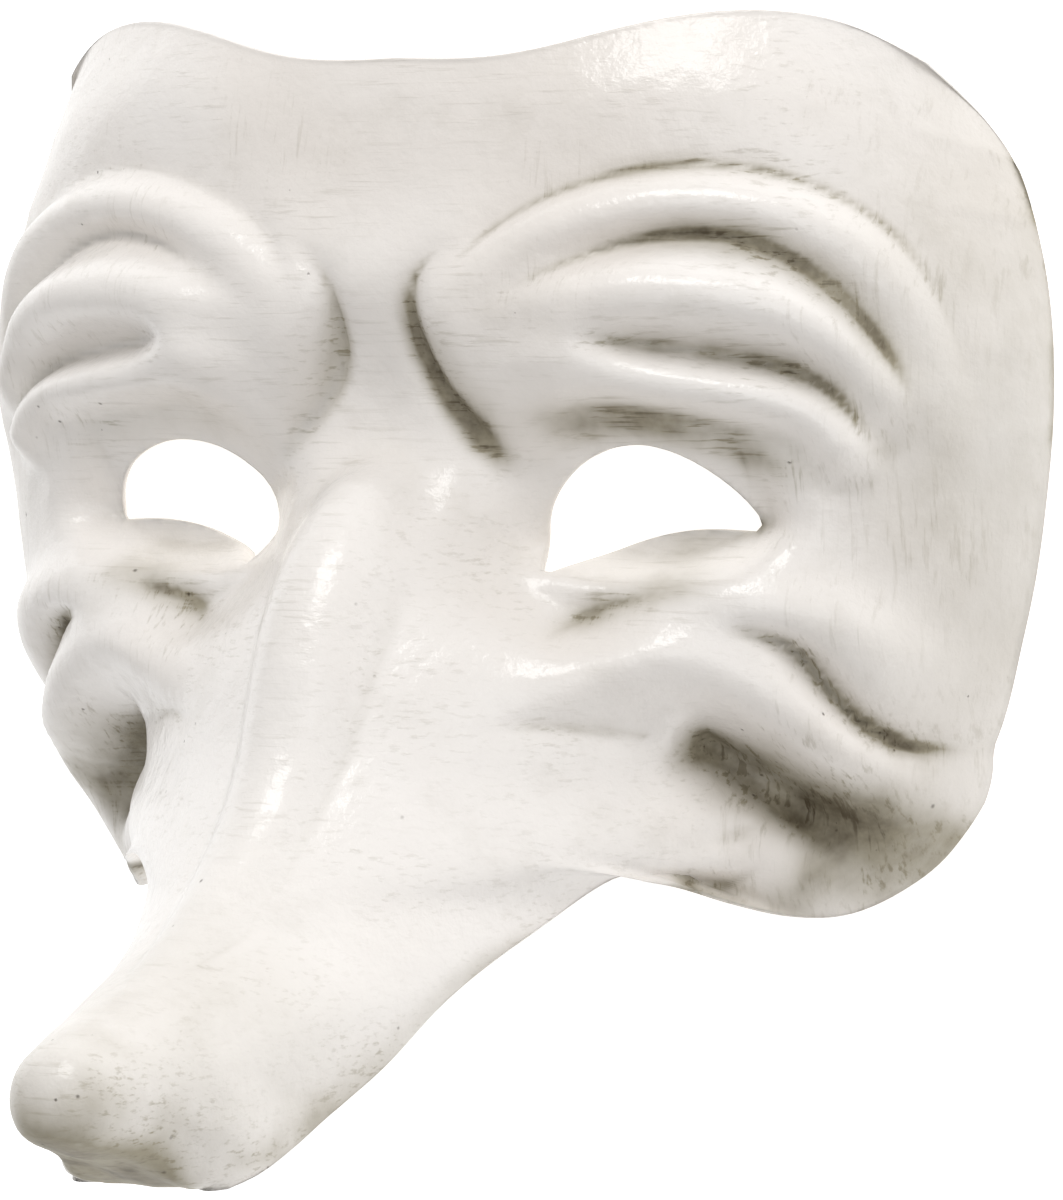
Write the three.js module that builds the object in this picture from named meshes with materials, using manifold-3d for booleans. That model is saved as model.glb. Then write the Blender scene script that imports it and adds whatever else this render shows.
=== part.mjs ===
// A papier-mache half mask of the long-nosed Venetian kind, lying face up on its side rims.
//
// Millimetres. X runs across the face, Y from the nose tip to the forehead and Z up, out of the face.
// The origin is on the table, under the middle of the mask's bounding box.
//
// Such a mask is pressed into a mould, so every point of its front can be seen from straight above:
// its outer surface is a height above a plan. The plan is a fan of rows from the midline to the rim,
// and the height is the shell of the forehead and cheeks, plus folds of skin, plus the long nose.

import * as THREE from 'three';
import Module from 'manifold-3d';

// Driving sizes

const WALL = 2.8;
// The sizes below have their Y from the middle of the eyes; this moves them to the part's own origin.
const ORIGIN_Y = 8.15;
const COLUMNS_PER_SIDE = 24;
// Bands of rows from the top edge to the tip of the nose: where each ends, and its number of rows.
const ROW_BANDS = [[0.1, 3], [0.66, 28], [0.79, 6], [0.92, 4], [1, 4]];
const RIM_FADE = 6;
const NOSE_BLEND = 5;
const RIDGE_BLEND = 5;
const WING_BLEND = 6;
const FOLD_RIM_LOSS = 0.8;
const FOLD_FADE = [0.8, 0.99];
// Share of the folds' height that the inner side has, as each layer of paper evens them out.
const INNER_FOLDS = 0.6;
const FINEST_FOLD = 2.6;
const DEEPEST_FOLD = 6.5;
const SLOPE_STEP = 0.4;
const CORNER_X = 68.5;
const CORNER_Y = 62.4;
const DIP_Y = 63.4;
const SHELL_COLOUR = 0xe6e2dc;

// Small helpers

const clamp = (value, low, high) => Math.min(Math.max(value, low), high);

const smoothStep = (from, to, value) => {
  const u = clamp((value - from) / (to - from), 0, 1);
  return u * u * (3 - 2 * u);
};

// The larger of two heights, with the joint between them rounded off over the given blend.
const smoothMax = (a, b, blend) => {
  const u = clamp(0.5 + (0.5 * (a - b)) / blend, 0, 1);
  return b + (a - b) * u + blend * u * (1 - u);
};

// A natural cubic spline through stations [place, value], level beyond its ends.
function spline(stations) {
  const sorted = [...stations].sort((a, b) => a[0] - b[0]);
  const places = sorted.map((station) => station[0]);
  const values = sorted.map((station) => station[1]);
  const last = places.length - 1;
  const bend = new Array(last + 1).fill(0);
  const carry = new Array(last + 1).fill(0);
  for (let i = 1; i < last; i += 1) {
    const before = places[i] - places[i - 1];
    const after = places[i + 1] - places[i];
    const turn = (values[i + 1] - values[i]) / after - (values[i] - values[i - 1]) / before;
    const pivot = 2 * (before + after) - before * carry[i - 1];
    carry[i] = after / pivot;
    bend[i] = (6 * turn - before * bend[i - 1]) / pivot;
  }
  for (let i = last - 1; i > 0; i -= 1) {
    bend[i] -= carry[i] * bend[i + 1];
  }
  return (place) => {
    const at = clamp(place, places[0], places[last]);
    let i = 0;
    while (i < last - 1 && at > places[i + 1]) {
      i += 1;
    }
    const span = places[i + 1] - places[i];
    const a = (places[i + 1] - at) / span;
    const b = (at - places[i]) / span;
    const curl = ((a ** 3 - a) * bend[i] + (b ** 3 - b) * bend[i + 1]) * span * span;
    return a * values[i] + b * values[i + 1] + curl / 6;
  };
}

// Points evenly spaced on a smooth curve through a few chosen ones; each point may carry more values.
function smoothCurve(points, steps) {
  const along = [0];
  for (let i = 1; i < points.length; i += 1) {
    along.push(along[i - 1] + Math.hypot(points[i][0] - points[i - 1][0], points[i][1] - points[i - 1][1]));
  }
  const parts = points[0].map((_, k) => spline(points.map((point, i) => [along[i], point[k]])));
  const result = [];
  for (let i = 0; i <= steps; i += 1) {
    result.push(parts.map((part) => part((along[points.length - 1] * i) / steps)));
  }
  return result;
}

// Shell: half width at the side rims, and depth on the midline, both by Y

const halfWidth = spline([
  [-62, 63], [-43, 70.3], [-30, 74.8], [-15, 79], [0, 81.6], [15, 82.7], [30, 82.2], [40, 80.1],
  [50, 76.6], [60, 74.5], [72, 70.5],
]);
const frontDepth = spline([
  [-62, 30], [-35, 36], [-10, 39.5], [8, 39], [20, 41], [31, 43.5], [45, 41], [58, 38], [72, 33],
]);
const sideRoundness = spline([[-62, 3], [-20, 3], [20, 3], [45, 2.7], [72, 2.3]]);
const sideFullness = spline([[-62, 0.55], [-20, 0.55], [20, 0.55], [45, 0.6], [72, 0.68]]);

// Height and sideways slope of the plain shell, without folds.
function shell(x, y) {
  const width = halfWidth(y);
  const roundness = sideRoundness(y);
  const fullness = sideFullness(y);
  const out = clamp(x / width, 0, 1);
  const left = 1 - out ** roundness;
  const depth = frontDepth(y);
  const steepness = (depth * fullness * roundness) / width;
  return {
    z: depth * Math.max(left, 0) ** fullness,
    slope: steepness * out ** (roundness - 1) * Math.max(left, 1e-7) ** (fullness - 1),
  };
}

// Folds of skin: a smooth curve in plan, raised or sunk, fading out at both ends

// Each fold: name, height (below zero for a crease), width at each end, the share of its length over
// which each end fades, and its points [x, y].
const FOLDS = [
  ['brow ridge', 1.2, [7, 7], [0.3, 0.3], [[14, 52], [30, 57], [48, 58], [62, 51], [73, 37]]],
  ['brow crease, upper', -1.8, [2, 2], [0.12, 0.25],
    [[10, 30], [17, 38.5], [30, 45.5], [46, 48.2], [60, 45.2], [71, 37], [76.5, 24], [78.8, 10],
      [79.2, 0]]],
  ['brow roll, upper', 3, [4, 4.6], [0.2, 0.2],
    [[13, 30], [20, 36.4], [29, 41], [39, 43.2], [51, 43], [62, 39], [70, 31], [75, 19], [76.4, 9],
      [76.6, 0]]],
  ['brow crease, middle', -3.8, [2, 3.2], [0.4, 0.25],
    [[15, 28], [23, 31.8], [30, 35], [38, 37.8], [49, 38.8], [59, 35.4], [66, 29], [70.5, 20],
      [72.7, 9]]],
  ['brow roll, middle', 5, [7, 3.8], [0.25, 0.15],
    [[16, 24], [22, 26], [29, 28.6], [36, 30.6], [45, 31], [55, 29.6], [62.5, 25.6], [67.5, 19],
      [70.4, 9]]],
  ['brow crease, lower', -4, [2.2, 2.8], [0.25, 0.4],
    [[30, 25.2], [41, 23.8], [56, 21.3], [62, 18.8], [66.5, 12], [68.4, 4]]],
  ['brow roll, lower', 4.8, [5.4, 3.4], [0.25, 0.12],
    [[16, 16.6], [22, 18.4], [30, 20], [38, 19.6], [50, 18], [59, 16], [64, 10.5], [65.4, 4]]],
  ['lid crease', -1.6, [1.8, 2.2], [0.3, 0.4], [[26, 16], [38, 14.6], [51, 12.6], [58, 10.4]]],
  ['under-eye crease', -1.2, [2, 2], [0.3, 0.4],
    [[26, -19], [29, -14], [35.6, -10.8], [44, -8.8], [52, -8]]],
  ['cheek roll, upper', 4.6, [4.6, 7], [0.45, 0.3],
    [[30, -19], [36, -15.6], [42, -13], [51, -11.6], [59, -13.2], [65.5, -17.4], [69.6, -23],
      [72.6, -29], [74, -34]]],
  ['cheek crease', -4.8, [1.3, 2], [0.34, 0.3],
    [[47.5, -14], [53, -14.7], [57.3, -16.7], [59.8, -19.6], [62, -23.4], [65, -27.6], [68, -30],
      [71.6, -31.4], [74.5, -30.6], [77, -28.6]]],
  ['cheek roll, lower', 5.6, [5, 5.2], [0.3, 0.06],
    [[22.6, -25.2], [31, -21.4], [38.4, -20], [46.8, -20.2], [53.1, -22.8], [57.6, -27.6],
      [61.4, -32.6], [65.4, -36.4], [70, -38], [77, -37]]],
  ['muzzle line', -1, [1.6, 2], [0.3, 0.2], [[22, -28], [30, -27.4], [36, -28.4], [43, -29.6]]],
  ['cheek pocket', -9.5, [3, 6.4], [0.12, 0.36],
    [[41, -28.8], [49, -33.4], [56, -37.8], [61.5, -41.6], [68, -46]]],
  ['notch crease', -1.8, [2, 2.6], [0.6, 0.4], [[41, -46], [44, -44.6], [48, -42.8], [52, -40.6]]],
  ['bridge crease', -3.2, [1.2, 3], [0.5, 0.25],
    [[14.5, 41], [10.8, 37], [7.4, 33.4], [6.2, 29.7], [6.4, 24], [8.8, 18.2], [12.4, 13.8],
      [16.2, 9.6], [19.5, 4.5]]],
];
const FOLD_STEPS = 40;
const FOLD_CURVES = FOLDS.map((fold) => smoothCurve(fold[4], FOLD_STEPS));

// Nearest distance from a plan point to a curve, and how far along the curve that is, 0 to 1.
function nearestOnCurve(x, y, points) {
  let distance = Infinity;
  let along = 0;
  for (let i = 0; i + 1 < points.length; i += 1) {
    const [ax, ay] = points[i];
    const ex = points[i + 1][0] - ax;
    const ey = points[i + 1][1] - ay;
    const u = clamp(((x - ax) * ex + (y - ay) * ey) / (ex * ex + ey * ey), 0, 1);
    const here = Math.hypot(x - ax - u * ex, y - ay - u * ey);
    if (here < distance) {
      distance = here;
      along = (i + u) / (points.length - 1);
    }
  }
  return { distance, along };
}

// A fold narrower than the solid's facets can follow is made wider and as much lower.
function foldHeight(x, y) {
  let height = 0;
  FOLDS.forEach(([, rise, [startWidth, endWidth], fade], i) => {
    const { distance, along } = nearestOnCurve(x, y, FOLD_CURVES[i]);
    const ends = smoothStep(0, fade[0], along) * smoothStep(0, fade[1], 1 - along);
    const width = startWidth + (endWidth - startWidth) * along;
    const softWidth = Math.hypot(width, FINEST_FOLD);
    height += ((rise * width) / softWidth) * ends * Math.exp(-((distance / softWidth) ** 2));
  });
  return height < 0 ? DEEPEST_FOLD * Math.tanh(height / DEEPEST_FOLD) : height;
}

// Soft mounds and hollows: centre, half sizes and rise
const MOUNDS = [
  { name: 'glabella', x: 0, y: 33, across: 8, along: 7, rise: 1.5 },
  { name: 'bridge hollow', x: 0, y: 17, across: 10, along: 8, rise: -2 },
  { name: 'inner brow', x: 14.5, y: 25, across: 7.5, along: 13, rise: 3.4 },
  { name: 'inner cheek', x: 37, y: -17, across: 9, along: 4.5, rise: 1.8 },
];

const moundHeight = (x, y) => MOUNDS.reduce((sum, mound) => {
  const far = ((x - mound.x) / mound.across) ** 2 + ((y - mound.y) / mound.along) ** 2;
  return sum + mound.rise * Math.exp(-far);
}, 0);

// Eye sockets: a tilted plane that the eye holes are cut through, rising again below the lower lid

const SOCKET = {
  x: 36, y: 2.5, across: 24, up: 13.5, down: 10.5, level: 26.4, levelY: -1, tilt: 0.66, lidTilt: 0.75,
};
const LID_BLEND = 2.5;
const SOCKET_EDGE = [0.64, 1.18];
// Changes of the plane across the face: each starts at x and goes on for the given reach.
const LID_SAG = { x: 44, reach: 7, rate: 0.036 };
const NOSE_SIDE = { x: 30, reach: 20, rate: 0.25 };
const TEMPLE_SIDE = { x: 53, reach: 20, rate: 0.3 };

function socketHeight(x, y) {
  const sag = LID_SAG.rate * clamp(x - LID_SAG.x, 0, LID_SAG.reach) ** 2;
  const noseSide = NOSE_SIDE.rate * clamp(NOSE_SIDE.x - x, 0, NOSE_SIDE.reach);
  const templeSide = TEMPLE_SIDE.rate * clamp(x - TEMPLE_SIDE.x, 0, TEMPLE_SIDE.reach);
  const above = y - SOCKET.levelY;
  const ground = SOCKET.level + smoothMax(SOCKET.tilt * above, -SOCKET.lidTilt * above, LID_BLEND);
  return ground - sag + noseSide + templeSide;
}

function socketShare(x, y) {
  const tall = y > SOCKET.y ? SOCKET.up : SOCKET.down;
  const out = Math.hypot((x - SOCKET.x) / SOCKET.across, (y - SOCKET.y) / tall);
  return 1 - smoothStep(SOCKET_EDGE[0], SOCKET_EDGE[1], out);
}

// The nose: a roll of balls along its ridge, a wing of balls each side of its tip, and flanks between

const RIDGE_STEPS = 160;
const WING_STEPS = 30;
const RIDGE_BALL_SHARE = 0.95;
const WING_BALL_SHARE = 0.99;

// Ridge stations, from the bridge to the tip: y, z and radius.
const RIDGE = smoothCurve([
  [-1.5, 44.5, 8.0], [-6, 49, 8.6], [-12, 53.6, 8.9], [-25, 60, 8.4], [-34.8, 64.7, 7.5],
  [-44.5, 72.5, 6.8], [-52.5, 81.6, 6.4], [-59.2, 90.9, 6.6], [-64.5, 100, 7.2], [-68.6, 108.5, 7.9],
  [-71.6, 116, 8.3], [-72.3, 119.3, 8.3],
], RIDGE_STEPS).map(([y, z, radius]) => ({ x: 0, y, z, radius }));

// Wing stations: x, y, z and radius.
const WING = smoothCurve([
  [9.4, -70, 101, 5.0], [10.0, -75, 105, 5.0], [10.2, -78.5, 106.5, 4.8], [10.2, -80.8, 106, 4.6],
], WING_STEPS).map(([x, y, z, radius]) => ({ x, y, z, radius }));

// Height over a row of balls; past the given share of its radius a ball goes on down as a cone.
function ballsHeight(x, y, balls, share) {
  const edge = Math.sqrt(1 - share * share);
  return balls.reduce((best, ball) => {
    const out = Math.hypot(x - ball.x, y - ball.y) / ball.radius;
    const cap = out < share ? Math.sqrt(1 - out * out) : edge - (share / edge) * (out - share);
    return Math.max(best, ball.z + ball.radius * cap);
  }, -99);
}

// Flank lines by Y: the inner line lies beside the ridge, the outer one is the muzzle, then the edge.
const flankInnerX = spline([
  [16, 12], [0, 11.3], [-13, 10.5], [-24, 9.5], [-38, 8.7], [-50, 8], [-62, 8.2], [-70, 8.8], [-86, 9.5],
]);
const flankInnerZ = spline([
  [26, 18], [16, 30], [9, 37], [3, 42.5], [-3, 47.5], [-13, 54.5], [-24, 60.8], [-31, 64.2],
  [-38, 69.4], [-49.5, 81], [-56, 89.5], [-62, 98], [-70, 108], [-76, 111], [-80, 109.5], [-84, 105],
  [-86, 101],
]);
const flankOuterX = spline([
  [16, 22], [0, 22], [-6, 23], [-12, 28.5], [-18, 35], [-24, 39], [-36, 41], [-47.6, 40], [-49.5, 36],
  [-52.5, 32.3], [-56, 29.8], [-64.5, 24], [-75.5, 18.5], [-80, 16], [-83.5, 13.8], [-85.6, 11.5],
]);
const flankOuterZ = spline([
  [26, 14], [16, 25], [6, 31], [-6, 32], [-12, 36], [-24, 38], [-36, 37.2], [-47.6, 40], [-49.5, 43.3],
  [-52.5, 48.5], [-56, 54.5], [-64.5, 67], [-75.5, 81.5], [-80, 88.5], [-83.5, 95.5], [-85.6, 100],
]);
const FLANK_STRAIGHT = 0.68;
const FLANK_TOP = { reach: -3, blend: 4 };
const MUZZLE_END = { x: 44, rate: 0.06 };

function flankHeight(x, y) {
  const inner = flankInnerX(y);
  const reach = flankOuterX(y) - inner;
  const fall = (flankInnerZ(y) - flankOuterZ(y)) / reach;
  const out = smoothMax(x - inner, FLANK_TOP.reach, FLANK_TOP.blend);
  const bow = ((1 - FLANK_STRAIGHT) * fall * Math.max(out, 0) ** 2) / reach;
  return flankInnerZ(y) - FLANK_STRAIGHT * fall * out - bow;
}

function noseHeight(x, y) {
  const ridge = ballsHeight(x, y, RIDGE, RIDGE_BALL_SHARE);
  const wing = ballsHeight(x, y, WING, WING_BALL_SHARE);
  const nose = smoothMax(smoothMax(ridge, flankHeight(x, y), RIDGE_BLEND), wing, WING_BLEND);
  return nose - MUZZLE_END.rate * Math.max(x - MUZZLE_END.x, 0) ** 2;
}

// The hollow under the tip, between the wings.
const TIP_HOLLOW = { depth: 6, halfWidth: 5.5, fromY: -75.5, fullY: -82 };

const tipHollow = (x, y) => {
  const across = Math.exp(-((x / TIP_HOLLOW.halfWidth) ** 4));
  return TIP_HOLLOW.depth * across * smoothStep(TIP_HOLLOW.fromY, TIP_HOLLOW.fullY, y);
};

// Plan: rows from the midline to the rim

// Each row: t, y on the midline, rim x, rim y, rim z, bend of the row and crowding towards the rim.
const ROWS = [
  [0.00, 63.4, 68.5, 62.4, 11.5, 1, 0.6],
  [0.08, 53.5, 75.2, 52.5, 2.0, 1, 0.75],
  [0.16, 42.0, 79.5, 42.0, 0, 1, 0.8],
  [0.24, 30.0, 82.2, 29.5, 0, 1, 0.8],
  [0.31, 20.0, 82.8, 17.0, 0, 1, 0.8],
  [0.375, 11.0, 82.0, 5.0, 0, 1, 0.8],
  [0.43, 4.0, 80.3, -7.5, 0, 1, 0.8],
  [0.48, -3.0, 77.9, -18.0, 0, 1, 0.8],
  [0.525, -9.5, 75.0, -28.5, 0, 1, 0.8],
  [0.565, -15.5, 71.9, -38.0, 0, 1, 0.7],
  [0.60, -21.0, 68.4, -46.0, 2.0, 1, 0.6],
  [0.635, -26.0, 63.0, -51.6, 6.5, 1.15, 0.45],
  [0.67, -31.0, 56.2, -54.8, 14.0, 1.5, 0.3],
  [0.70, -36.0, 50.2, -53.4, 23.5, 2.2, 0.2],
  [0.73, -41.5, 45.0, -50.0, 34.0, 2.8, 0.1],
  [0.755, -46.0, 40.0, -47.6, 40.0, 2.5, 0],
  [0.79, -51.5, 34.0, -51.0, 46.0, 1, 0],
  [0.83, -58.0, 28.7, -57.5, 57.0, 1, 0],
  [0.87, -64.5, 24.1, -64.4, 67.0, 1, 0],
  [0.91, -71.0, 21.0, -71.2, 75.1, 1, 0],
  [0.95, -77.5, 17.3, -77.6, 84.7, 1, 0],
  [0.98, -82.2, 15.2, -82.1, 92.8, 1, 0],
  [0.99, -84.2, 14.0, -83.8, 96.8, 1, 0],
  [1.00, -85.8, 11.6, -85.2, 100.4, 1, 0],
];
const rowValues = [1, 2, 3, 4, 5, 6].map((k) => spline(ROWS.map((row) => [row[0], row[k]])));
const topEdge = spline([
  [0, 63.4], [10, 63.2], [20, 64.2], [30, 66.6], [40, 68.8], [48, 69.5], [54.5, 69], [60.5, 67.3],
  [66, 64.2], [69, 62],
]);
const RESTING_ROWS = [0.14, 0.575];
const TOP_BOW_END = 0.3;
const EVEN_SHARE = 0.4;

// Plan position of row t at share s of its way from the midline to the rim.
function planPoint(s, t) {
  const [middleY, rimX, rimY, rimZ, bend, crowding] = rowValues.map((value) => value(t));
  const crowd = clamp(crowding, 0, 0.8);
  const ease = Math.sin((s * Math.PI) / 2);
  const out = (1 - crowd) * s + crowd * ease;
  const chordX = CORNER_X * (EVEN_SHARE * s + (1 - EVEN_SHARE) * ease);
  const chordY = DIP_Y + ((CORNER_Y - DIP_Y) * chordX) / CORNER_X;
  const bow = (topEdge(chordX) - chordY) * (1 - smoothStep(0, TOP_BOW_END, t));
  const resting = t > RESTING_ROWS[0] && t < RESTING_ROWS[1];
  return {
    x: rimX * out,
    y: middleY + (rimY - middleY) * out ** Math.max(bend, 1) + bow,
    rimZ: resting ? 0 : Math.max(rimZ, 0),
  };
}

// Outer surface over a plan point, before its rim is trimmed, with the folds at a share of their height.
function facePoint(x, y, foldShare) {
  const out = Math.abs(x);
  const plain = shell(out, y);
  const length = Math.hypot(1, plain.slope);
  const fade = 1 - FOLD_RIM_LOSS * smoothStep(FOLD_FADE[0], FOLD_FADE[1], out / halfWidth(y));
  const socket = socketShare(out, y);
  const rise = (foldHeight(out, y) + moundHeight(out, y)) * fade * foldShare * (1 - socket);
  const face = plain.z * (1 - socket) + socketHeight(out, y) * socket;
  const nose = noseHeight(out, y);
  const noseShare = clamp(0.5 + (0.5 * (nose - face)) / NOSE_BLEND, 0, 1);
  const upwards = rise * (noseShare + (1 - noseShare) / length);
  const sideways = ((rise * plain.slope) / length) * (1 - noseShare);
  const z = smoothMax(face, nose, NOSE_BLEND) + upwards - tipHollow(out, y);
  return new THREE.Vector3(Math.sign(x) * (out + sideways), y, z);
}

// Direction straight out of the surface, from its slopes along X and Y.
function faceNormal(x, y, foldShare) {
  const alongX = facePoint(x + SLOPE_STEP, y, foldShare).sub(facePoint(x - SLOPE_STEP, y, foldShare));
  const alongY = facePoint(x, y + SLOPE_STEP, foldShare).sub(facePoint(x, y - SLOPE_STEP, foldShare));
  return alongX.cross(alongY).normalize();
}

// One row of the shell, midline to rim: plan place, outer point and inner point of each column.
// The row's end is brought to the rim's own height, and the inner side is level where the rim rests.
function shellRow(t, columns) {
  const plan = [];
  for (let i = 0; i <= columns; i += 1) {
    plan.push(planPoint(i / columns, t));
  }
  const rim = plan[columns];
  const rimFace = facePoint(rim.x, rim.y, 1);
  const drop = rim.rimZ - rimFace.z;
  return plan.map(({ x, y }, i) => {
    const outer = facePoint(x, y, 1);
    const away = Math.hypot(outer.x - rimFace.x, outer.y - rimFace.y);
    const trim = drop * Math.exp(-((away / RIM_FADE) ** 1.5));
    const inward = faceNormal(x, y, INNER_FOLDS).multiplyScalar(-WALL);
    const inner = facePoint(x, y, INNER_FOLDS);
    if (i === columns && rim.rimZ === 0) {
      inward.setZ(0).setLength(WALL);
      inner.copy(outer);
    }
    outer.add(new THREE.Vector3(0, ORIGIN_Y, trim));
    inner.add(inward).add(new THREE.Vector3(0, ORIGIN_Y, trim));
    inner.z = Math.max(inner.z, 0);
    return { outer, inner };
  });
}

// Where the rows lie, from the top edge to the tip, with the given number in place of each row.
function rowPlaces(parts) {
  const places = [0];
  ROW_BANDS.forEach(([end, count]) => {
    const start = places[places.length - 1];
    for (let i = 1; i <= count * parts; i += 1) {
      places.push(start + ((end - start) * i) / (count * parts));
    }
  });
  return places;
}

// The whole shell as rows of such points, from the -X rim to the +X rim.
function shellRows(places, columns) {
  const mirrored = (point) => new THREE.Vector3(-point.x, point.y, point.z);
  return places.map((t) => {
    const half = shellRow(t, columns);
    const other = half.slice(1).reverse();
    const reflected = other.map(({ outer, inner }) => ({ outer: mirrored(outer), inner: mirrored(inner) }));
    return [...reflected, ...half];
  });
}

// A closed body from the rows: the outer surface, the inner one and the wall around the edge.
// The rows come at twice the spacing wanted; the points between show which way to split each quad.
function shellSolid(wasm, fineRows) {
  const rows = fineRows.filter((_, j) => j % 2 === 0).map((row) => row.filter((_, i) => i % 2 === 0));
  const lastRow = rows.length - 1;
  const lastColumn = rows[0].length - 1;
  const outerPoints = rows.flat().map((point) => point.outer);
  const innerPoints = rows.flat().map((point) => point.inner);
  const places = [...outerPoints, ...innerPoints].flatMap((point) => point.toArray());
  const outerIndex = (j, i) => j * (lastColumn + 1) + i;
  const innerIndex = (j, i) => outerPoints.length + outerIndex(j, i);
  const triangles = [];
  const quad = (a, b, c, d, splitBD) => {
    triangles.push(...(splitBD ? [a, b, d, b, c, d] : [a, b, c, a, c, d]));
  };
  const middle = new THREE.Vector3();
  const miss = (j, i, rise) => {
    middle.addVectors(rows[j][i + rise].outer, rows[j + 1][i + 1 - rise].outer).multiplyScalar(0.5);
    return middle.distanceTo(fineRows[2 * j + 1][2 * i + 1].outer);
  };
  for (let j = 0; j < lastRow; j += 1) {
    for (let i = 0; i < lastColumn; i += 1) {
      const split = miss(j, i, 1) < miss(j, i, 0);
      quad(outerIndex(j, i), outerIndex(j + 1, i), outerIndex(j + 1, i + 1), outerIndex(j, i + 1), split);
      quad(innerIndex(j, i), innerIndex(j, i + 1), innerIndex(j + 1, i + 1), innerIndex(j + 1, i), split);
    }
    quad(outerIndex(j + 1, 0), outerIndex(j, 0), innerIndex(j, 0), innerIndex(j + 1, 0), false);
    quad(outerIndex(j, lastColumn), outerIndex(j + 1, lastColumn), innerIndex(j + 1, lastColumn),
      innerIndex(j, lastColumn), false);
  }
  for (let i = 0; i < lastColumn; i += 1) {
    quad(outerIndex(0, i), outerIndex(0, i + 1), innerIndex(0, i + 1), innerIndex(0, i), false);
    quad(outerIndex(lastRow, i + 1), outerIndex(lastRow, i), innerIndex(lastRow, i),
      innerIndex(lastRow, i + 1), false);
  }
  return solidFrom(wasm, places, triangles);
}

function solidFrom(wasm, places, triangles) {
  return new wasm.Manifold(new wasm.Mesh({
    numProp: 3,
    vertProperties: new Float32Array(places),
    triVerts: new Uint32Array(triangles),
  }));
}

// Eye hole: a half moon with a bowed lower lid and a corner at each end

const EYE = {
  innerX: 23.6, innerY: -7.2, outerX: 50.9, outerY: -1.3, topX: 36.5, topY: 9.9, lidBow: 2.65,
  innerRoundness: 2.4, innerBulge: 2.6, outerRoundness: 1.75, middleY: 1.5,
};
const EYE_STEPS = 12;
// How far the cut spreads for each millimetre that it goes down, and the heights that it runs between.
const EYE_FLARE = 0.53;
const CUTTER_FOOT = 14;
const CUTTER_TOP = 90;

// Upper lid height above the given corner, for a share of the way from the top to that corner.
const lidArch = (share, roundness) => Math.max(1 - share ** roundness, 0) ** (1 / roundness);

// The outline runs along the lower lid to the outer corner and back over the upper lid.
function eyeOutline() {
  const lower = [];
  const outer = [];
  const inner = [];
  for (let i = 0; i < EYE_STEPS; i += 1) {
    const u = i / EYE_STEPS;
    const y = EYE.innerY + (EYE.outerY - EYE.innerY) * u + EYE.lidBow * Math.sin(Math.PI * u);
    lower.push([EYE.innerX + (EYE.outerX - EYE.innerX) * u, y]);
    const outwards = Math.cos((u * Math.PI) / 2);
    const outerArch = lidArch(outwards, EYE.outerRoundness);
    const outerX = EYE.topX + (EYE.outerX - EYE.topX) * outwards;
    outer.push([outerX, EYE.outerY + (EYE.topY - EYE.outerY) * outerArch]);
    const inwards = Math.sin((u * Math.PI) / 2);
    const innerArch = lidArch(inwards, EYE.innerRoundness);
    const bulge = EYE.innerBulge * Math.sin(Math.PI * innerArch);
    const innerX = EYE.topX + (EYE.innerX - EYE.topX) * inwards - bulge;
    inner.push([innerX, EYE.innerY + (EYE.topY - EYE.innerY) * innerArch]);
  }
  return [...lower, ...outer, ...inner];
}

// The cut of one eye hole: upright over the outer surface and spreading below it, as a knife held
// slanted leaves it, so that the edge looks thin from the front.
function eyeCutter(wasm, side) {
  const outline = side > 0 ? eyeOutline() : eyeOutline().reverse();
  const count = outline.length;
  const shape = outline.map(([x, y]) => new THREE.Vector2(x * side, y));
  const caps = THREE.ShapeUtils.triangulateShape(shape, []);
  const surface = outline.map(([x, y]) => facePoint(x, y, 1).z);
  const foot = outline.map(([x, y], i) => {
    const away = new THREE.Vector3((x - EYE.topX) / 2, y - EYE.middleY, 0);
    away.setLength(EYE_FLARE * (surface[i] - CUTTER_FOOT));
    return [x + away.x, y + away.y, CUTTER_FOOT];
  });
  const middle = outline.map(([x, y], i) => [x, y, surface[i]]);
  const top = outline.map(([x, y]) => [x, y, CUTTER_TOP]);
  const places = [...foot, ...middle, ...top].flatMap(([x, y, z]) => [x * side, y + ORIGIN_Y, z]);
  const triangles = [];
  caps.forEach(([a, b, c]) => {
    triangles.push(a, c, b, a + 2 * count, b + 2 * count, c + 2 * count);
  });
  for (let i = 0; i < 2 * count; i += 1) {
    const next = (i + 1) % count === 0 ? i + 1 - count : i + 1;
    triangles.push(i, next, next + count, i, next + count, i + count);
  }
  return solidFrom(wasm, places, triangles);
}

function geometryOf(solid) {
  const mesh = solid.getMesh();
  const geometry = new THREE.BufferGeometry();
  geometry.setAttribute('position', new THREE.BufferAttribute(mesh.vertProperties, mesh.numProp));
  geometry.setIndex(new THREE.BufferAttribute(mesh.triVerts, 1));
  geometry.computeVertexNormals();
  return geometry;
}

async function maskGeometry() {
  const wasm = await Module();
  wasm.setup();
  let solid = shellSolid(wasm, shellRows(rowPlaces(2), 2 * COLUMNS_PER_SIDE));
  [1, -1].forEach((side) => {
    solid = solid.subtract(eyeCutter(wasm, side));
  });
  return geometryOf(solid);
}

const paperShell = new THREE.MeshStandardMaterial({
  name: 'varnished_paper', color: SHELL_COLOUR, roughness: 0.35, metalness: 0, side: THREE.DoubleSide,
});

const mask = new THREE.Mesh(await maskGeometry(), paperShell);
mask.name = 'mask_shell';

const model = new THREE.Group();
model.name = 'venetian_mask';
model.add(mask);

export default model;
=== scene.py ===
"""A long-nosed half mask of varnished papier-mache, lying face up on its side rims.

The form is worked out in millimetres in the mask's own plan: X runs across the face from the
midline, Y from the nose tip to the forehead and Z up, out of the face. Pieces are placed in metres.
"""

import logging
import math
from dataclasses import dataclass, field
from enum import Enum
from typing import ClassVar, Mapping, Sequence

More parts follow.
